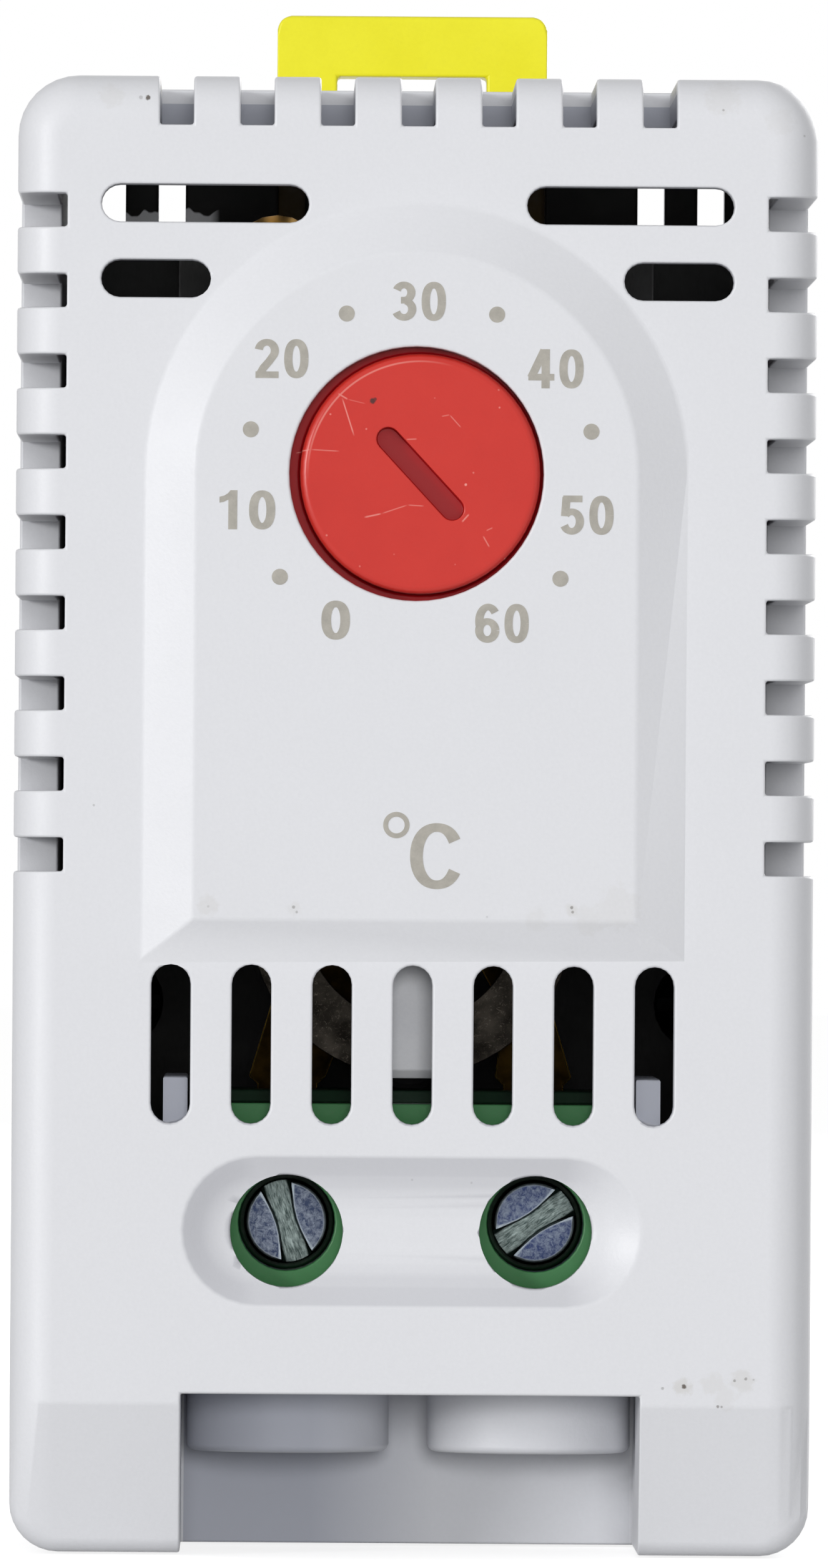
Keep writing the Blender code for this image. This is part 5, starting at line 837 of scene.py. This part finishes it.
# Half width and half height of the pen, and each character in a box one high: its width, paths and outlines.
BOLD, LIGHT = (0.105, 0.085), (0.097, 0.066)
CHARACTERS = {
    "0": (0.62, BOLD, [bow(0.31, 0.5, 0.205, 0.415, 0, 360, 2.3, 48)], []),
    "1": (0.62, BOLD, [], [[(0.25, 0), (0.46, 0), (0.46, 1), (0.30, 1), (0.24, 0.92), (0.15, 0.86), (0.04, 0.83),
                            (0.04, 0.68), (0.14, 0.70), (0.25, 0.76)]]),
    "2": (0.62, BOLD, [bow(0.305, 0.70, 0.205, 0.215, 172, -38) + [(0.36, 0.42), (0.22, 0.26), (0.13, 0.10)],
                       [(0.02, 0.085), (0.61, 0.085)]], []),
    "3": (0.62, BOLD, [bow(0.295, 0.72, 0.19, 0.195, 160, -80), [(0.22, 0.525), (0.34, 0.525)],
                       bow(0.30, 0.295, 0.21, 0.21, 82, -158)], []),
    "4": (0.66, BOLD, [[(0.44, 0.0), (0.44, 1.0)], [(0.0, 0.285), (0.66, 0.285)], [(0.40, 0.97), (0.07, 0.27)]], []),
    "5": (0.62, BOLD, [[(0.08, 0.915), (0.57, 0.915)], [(0.165, 0.96), (0.13, 0.47)],
                       bow(0.30, 0.335, 0.21, 0.25, 135, -155)], []),
    "6": (0.62, BOLD, [bow(0.31, 0.315, 0.205, 0.23, 0, 360, 2.0, 40),
                       bow(0.33, 0.55, 0.225, 0.365, 38, 200)], []),
    "C": (0.81, LIGHT, [bow(0.405, 0.5, 0.308, 0.434, 30, 330, 2.15, 48)], [])}


def printed(form, characters, height_mm, centre_mm, gap=0.13, stretch=1.0):
    """Add a word to a bmesh as thin closed solids that stand on the panel's face, centred on a place x, z."""
    widths = [CHARACTERS[one][0] * stretch for one in characters]
    left = -(sum(widths) + gap * (len(widths) - 1)) / 2
    for one, width in zip(characters, widths):
        _, pen, paths, outlines = CHARACTERS[one]
        shapes = [quad for path in paths for quad in pen_stroke(path, pen)] + [tuple(shape) for shape in outlines]
        flat = [Vector(((left + x * stretch) * height_mm, (y - 0.5) * height_mm))
                for shape in shapes for x, y in shape]
        faces, at = [], 0
        for shape in shapes:
            faces.append(list(range(at, at + len(shape))))
            at += len(shape)
        points, _, merged, _, _, origins = delaunay_2d_cdt(flat, [], faces, 0, 1e-5)
        letter = bmesh.new()
        corners = [letter.verts.new(((centre_mm[0] + x) / 1000, PANEL_Y + SUNK_MM / 1000, (centre_mm[1] + z) / 1000))
                   for x, z in points]
        for face, origin in zip(merged, origins):
            if origin:
                letter.faces.new([corners[number] for number in face])
        bmesh.ops.delete(letter, geom=[one for one in letter.verts if not one.link_faces], context="VERTS")
        bmesh.ops.dissolve_limit(letter, angle_limit=math.radians(1), verts=letter.verts, edges=letter.edges)
        raised = bmesh.ops.extrude_face_region(letter, geom=letter.faces[:])["geom"]
        bmesh.ops.translate(letter, vec=(0, -(SUNK_MM + PROUD_MM) / 1000, 0),
                            verts=[one for one in raised if isinstance(one, bmesh.types.BMVert)])
        bmesh.ops.recalc_face_normals(letter, faces=letter.faces)
        mesh = mesh_of(letter, "letter")
        form.from_mesh(mesh)
        bpy.data.meshes.remove(mesh)
        left += width + gap


# %% Numbers and the unit
# Clock angle in degrees, clockwise from the top, radius in millimetres, and width of each number on the panel.
NUMBERS = [("30", 0.0, 7.00, 1.0), ("20", -50.5, 7.26, 1.0), ("40", 52.7, 7.06, 1.0), ("10", -102.7, 7.17, 1.08),
           ("50", 103.8, 7.12, 1.0), ("0", -151.3, 6.91, 1.18), ("60", 150.5, 7.06, 1.0)]
SCALE_X, SCALE_Z = 0.05, 44.35
NUMBER_HEIGHT, UNIT_HEIGHT = 1.60, 2.70

scale_form = bmesh.new()
for characters, clock, radius, stretch in NUMBERS:
    across = SCALE_X + radius * math.sin(math.radians(clock))
    up = SCALE_Z + radius * math.cos(math.radians(clock))
    printed(scale_form, characters, NUMBER_HEIGHT, (across, up), stretch=stretch)
printed(scale_form, "C", UNIT_HEIGHT, (0.93, 28.67))
scale = add_piece("scale_numbers", mesh_of(scale_form, "scale_numbers"))
scale.data.materials.append(INK)
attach(scale, "housing")
print("numbers:", len(NUMBERS), "faces:", len(scale.data.polygons))

# %% Dots between the numbers, by Geometry Nodes
# The dots are printed 0.12 mm beside the numbers' centre.
DOTS_X = SCALE_X + 0.12


def set_input(modifier, group, name, value):
    """Set a Geometry Nodes input by its socket's identifier."""
    for item in group.interface.items_tree:
        if item.name == name and item.in_out == "INPUT":
            modifier[item.identifier] = value


def node_group(name, sizes):
    """Empty Geometry Nodes group with a Geometry output and one named input for each size."""
    group = bpy.data.node_groups.new(name, "GeometryNodeTree")
    group.interface.new_socket("Geometry", in_out="OUTPUT", socket_type="NodeSocketGeometry")
    for label, kind, value in sizes:
        group.interface.new_socket(label, in_out="INPUT", socket_type=kind).default_value = value
    return group, add_node(group, "NodeGroupInput"), add_node(group, "NodeGroupOutput")


group, given, result = node_group("dots_on_an_arc", [
    ("Count", "NodeSocketInt", 6), ("Arc radius", "NodeSocketFloat", 0.00717),
    ("First angle", "NodeSocketFloat", math.radians(-126.9)), ("Step", "NodeSocketFloat", math.radians(50.76)),
    ("Dot radius", "NodeSocketFloat", 0.00033), ("Thickness", "NodeSocketFloat", INK_MM / 1000),
    ("Centre", "NodeSocketVector", (0, 0, 0))])
index = add_node(group, "GeometryNodeInputIndex")
angle = add_node(group, "ShaderNodeMath", {"operation": "MULTIPLY_ADD"},
                 {0: index.outputs[0], 1: given.outputs["Step"], 2: given.outputs["First angle"]})
sine = add_node(group, "ShaderNodeMath", {"operation": "SINE"}, {0: angle.outputs[0]})
cosine = add_node(group, "ShaderNodeMath", {"operation": "COSINE"}, {0: angle.outputs[0]})
compass = add_node(group, "ShaderNodeCombineXYZ", inputs={"X": sine.outputs[0], "Z": cosine.outputs[0]})
spread = add_node(group, "ShaderNodeVectorMath", {"operation": "SCALE"},
                  {0: compass.outputs[0], "Scale": given.outputs["Arc radius"]})
spot = add_node(group, "ShaderNodeVectorMath", {"operation": "ADD"},
                {0: spread.outputs[0], 1: given.outputs["Centre"]})
points = add_node(group, "GeometryNodePoints", inputs={"Count": given.outputs["Count"], "Position": spot.outputs[0]})
disc = add_node(group, "GeometryNodeMeshCylinder", inputs={
    "Vertices": 28, "Radius": given.outputs["Dot radius"], "Depth": given.outputs["Thickness"]})
dots = add_node(group, "GeometryNodeInstanceOnPoints", inputs={
    "Points": points.outputs[0], "Instance": disc.outputs["Mesh"], "Rotation": (math.radians(90), 0, 0)})
real = add_node(group, "GeometryNodeRealizeInstances", inputs={"Geometry": dots.outputs[0]})
inked = add_node(group, "GeometryNodeSetMaterial", inputs={"Geometry": real.outputs[0], "Material": INK})
group.links.new(inked.outputs[0], result.inputs[0])

dot_piece = add_piece("scale_dots", bpy.data.meshes.new("scale_dots"))
maker = dot_piece.modifiers.new("dots", "NODES")
maker.node_group = group
set_input(maker, group, "Centre", (DOTS_X / 1000, PANEL_Y - 0.4 * INK_MM / 1000, SCALE_Z / 1000))
plain_mesh(dot_piece)
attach(dot_piece, "housing")
print("dots:", len(dot_piece.data.polygons), "faces")

# %% Degree ring
# Centre, outer and inner radius in millimetres, and the steps round it.
RING_X, RING_Z, RING_OUT, RING_IN, RING_STEPS = -0.73, 29.93, 0.54, 0.34, 40
ring_form = bmesh.new()
loops = []
for radius, lift in ((RING_OUT, SUNK_MM), (RING_OUT, -PROUD_MM), (RING_IN, -PROUD_MM), (RING_IN, SUNK_MM)):
    turns = [2 * math.pi * step / RING_STEPS for step in range(RING_STEPS)]
    loops.append([ring_form.verts.new(((RING_X + radius * math.cos(turn)) / 1000, PANEL_Y + lift / 1000,
                                       (RING_Z + radius * math.sin(turn)) / 1000)) for turn in turns])
for one, two in zip(loops, loops[1:] + loops[:1]):
    for step in range(RING_STEPS):
        after = (step + 1) % RING_STEPS
        ring_form.faces.new((one[step], one[after], two[after], two[step]))
bmesh.ops.recalc_face_normals(ring_form, faces=ring_form.faces)
ring = add_piece("degree_ring", mesh_of(ring_form, "degree_ring"))
ring.data.materials.append(INK)
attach(ring, "housing")
print("degree ring:", len(ring.data.polygons), "faces")

# %% [markdown]
# ## The latch spring
# The latch is pushed back by a small compression spring of 0.4 mm wire. A coil follows a rule, so Geometry Nodes wind
# it: a spiral curve, swept with a round profile. When the latch is pulled up the spring shortens between the latch and
# the stop on the housing.

# %% Latch spring by Geometry Nodes
low_corner, high_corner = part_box("latch_spring")
SPRING_WIRE = 0.0002
group, given, result = node_group("wound_spring", [
    ("Turns", "NodeSocketFloat", 5.5), ("Coil radius", "NodeSocketFloat", 0.00105),
    ("Height", "NodeSocketFloat", 0.005), ("Wire radius", "NodeSocketFloat", SPRING_WIRE),
    ("Foot", "NodeSocketVector", (0, 0, 0))])
spiral = add_node(group, "GeometryNodeCurveSpiral", inputs={
    "Resolution": 36, "Rotations": given.outputs["Turns"], "Start Radius": given.outputs["Coil radius"],
    "End Radius": given.outputs["Coil radius"], "Height": given.outputs["Height"]})
round_wire = add_node(group, "GeometryNodeCurvePrimitiveCircle", inputs={
    "Resolution": 12, "Radius": given.outputs["Wire radius"]})
wire = add_node(group, "GeometryNodeCurveToMesh", inputs={
    "Curve": spiral.outputs[0], "Profile Curve": round_wire.outputs[0], "Fill Caps": True})
stood = add_node(group, "GeometryNodeTransform", inputs={
    "Geometry": wire.outputs[0], "Translation": given.outputs["Foot"]})
smooth = add_node(group, "GeometryNodeSetShadeSmooth", inputs={"Geometry": stood.outputs[0]})
real = add_node(group, "GeometryNodeRealizeInstances", inputs={"Geometry": smooth.outputs[0]})
made = add_node(group, "GeometryNodeSetMaterial", inputs={"Geometry": real.outputs[0], "Material": SPRING_STEEL})
group.links.new(made.outputs[0], result.inputs[0])

spring = add_piece("latch_spring_wound", bpy.data.meshes.new("latch_spring_wound"))
maker = spring.modifiers.new("wound", "NODES")
maker.node_group = group
middle_y = (low_corner[1] + high_corner[1]) / 2
foot_z = low_corner[2] + SPRING_WIRE
set_input(maker, group, "Height", high_corner[2] - low_corner[2] - 2 * SPRING_WIRE)
set_input(maker, group, "Foot", (0, middle_y, foot_z))
plain_mesh(spring)
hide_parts("latch_spring")
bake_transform(spring)
print("spring:", len(spring.data.vertices), "points, height mm",
      round((high_corner[2] - low_corner[2]) * 1000, 2))
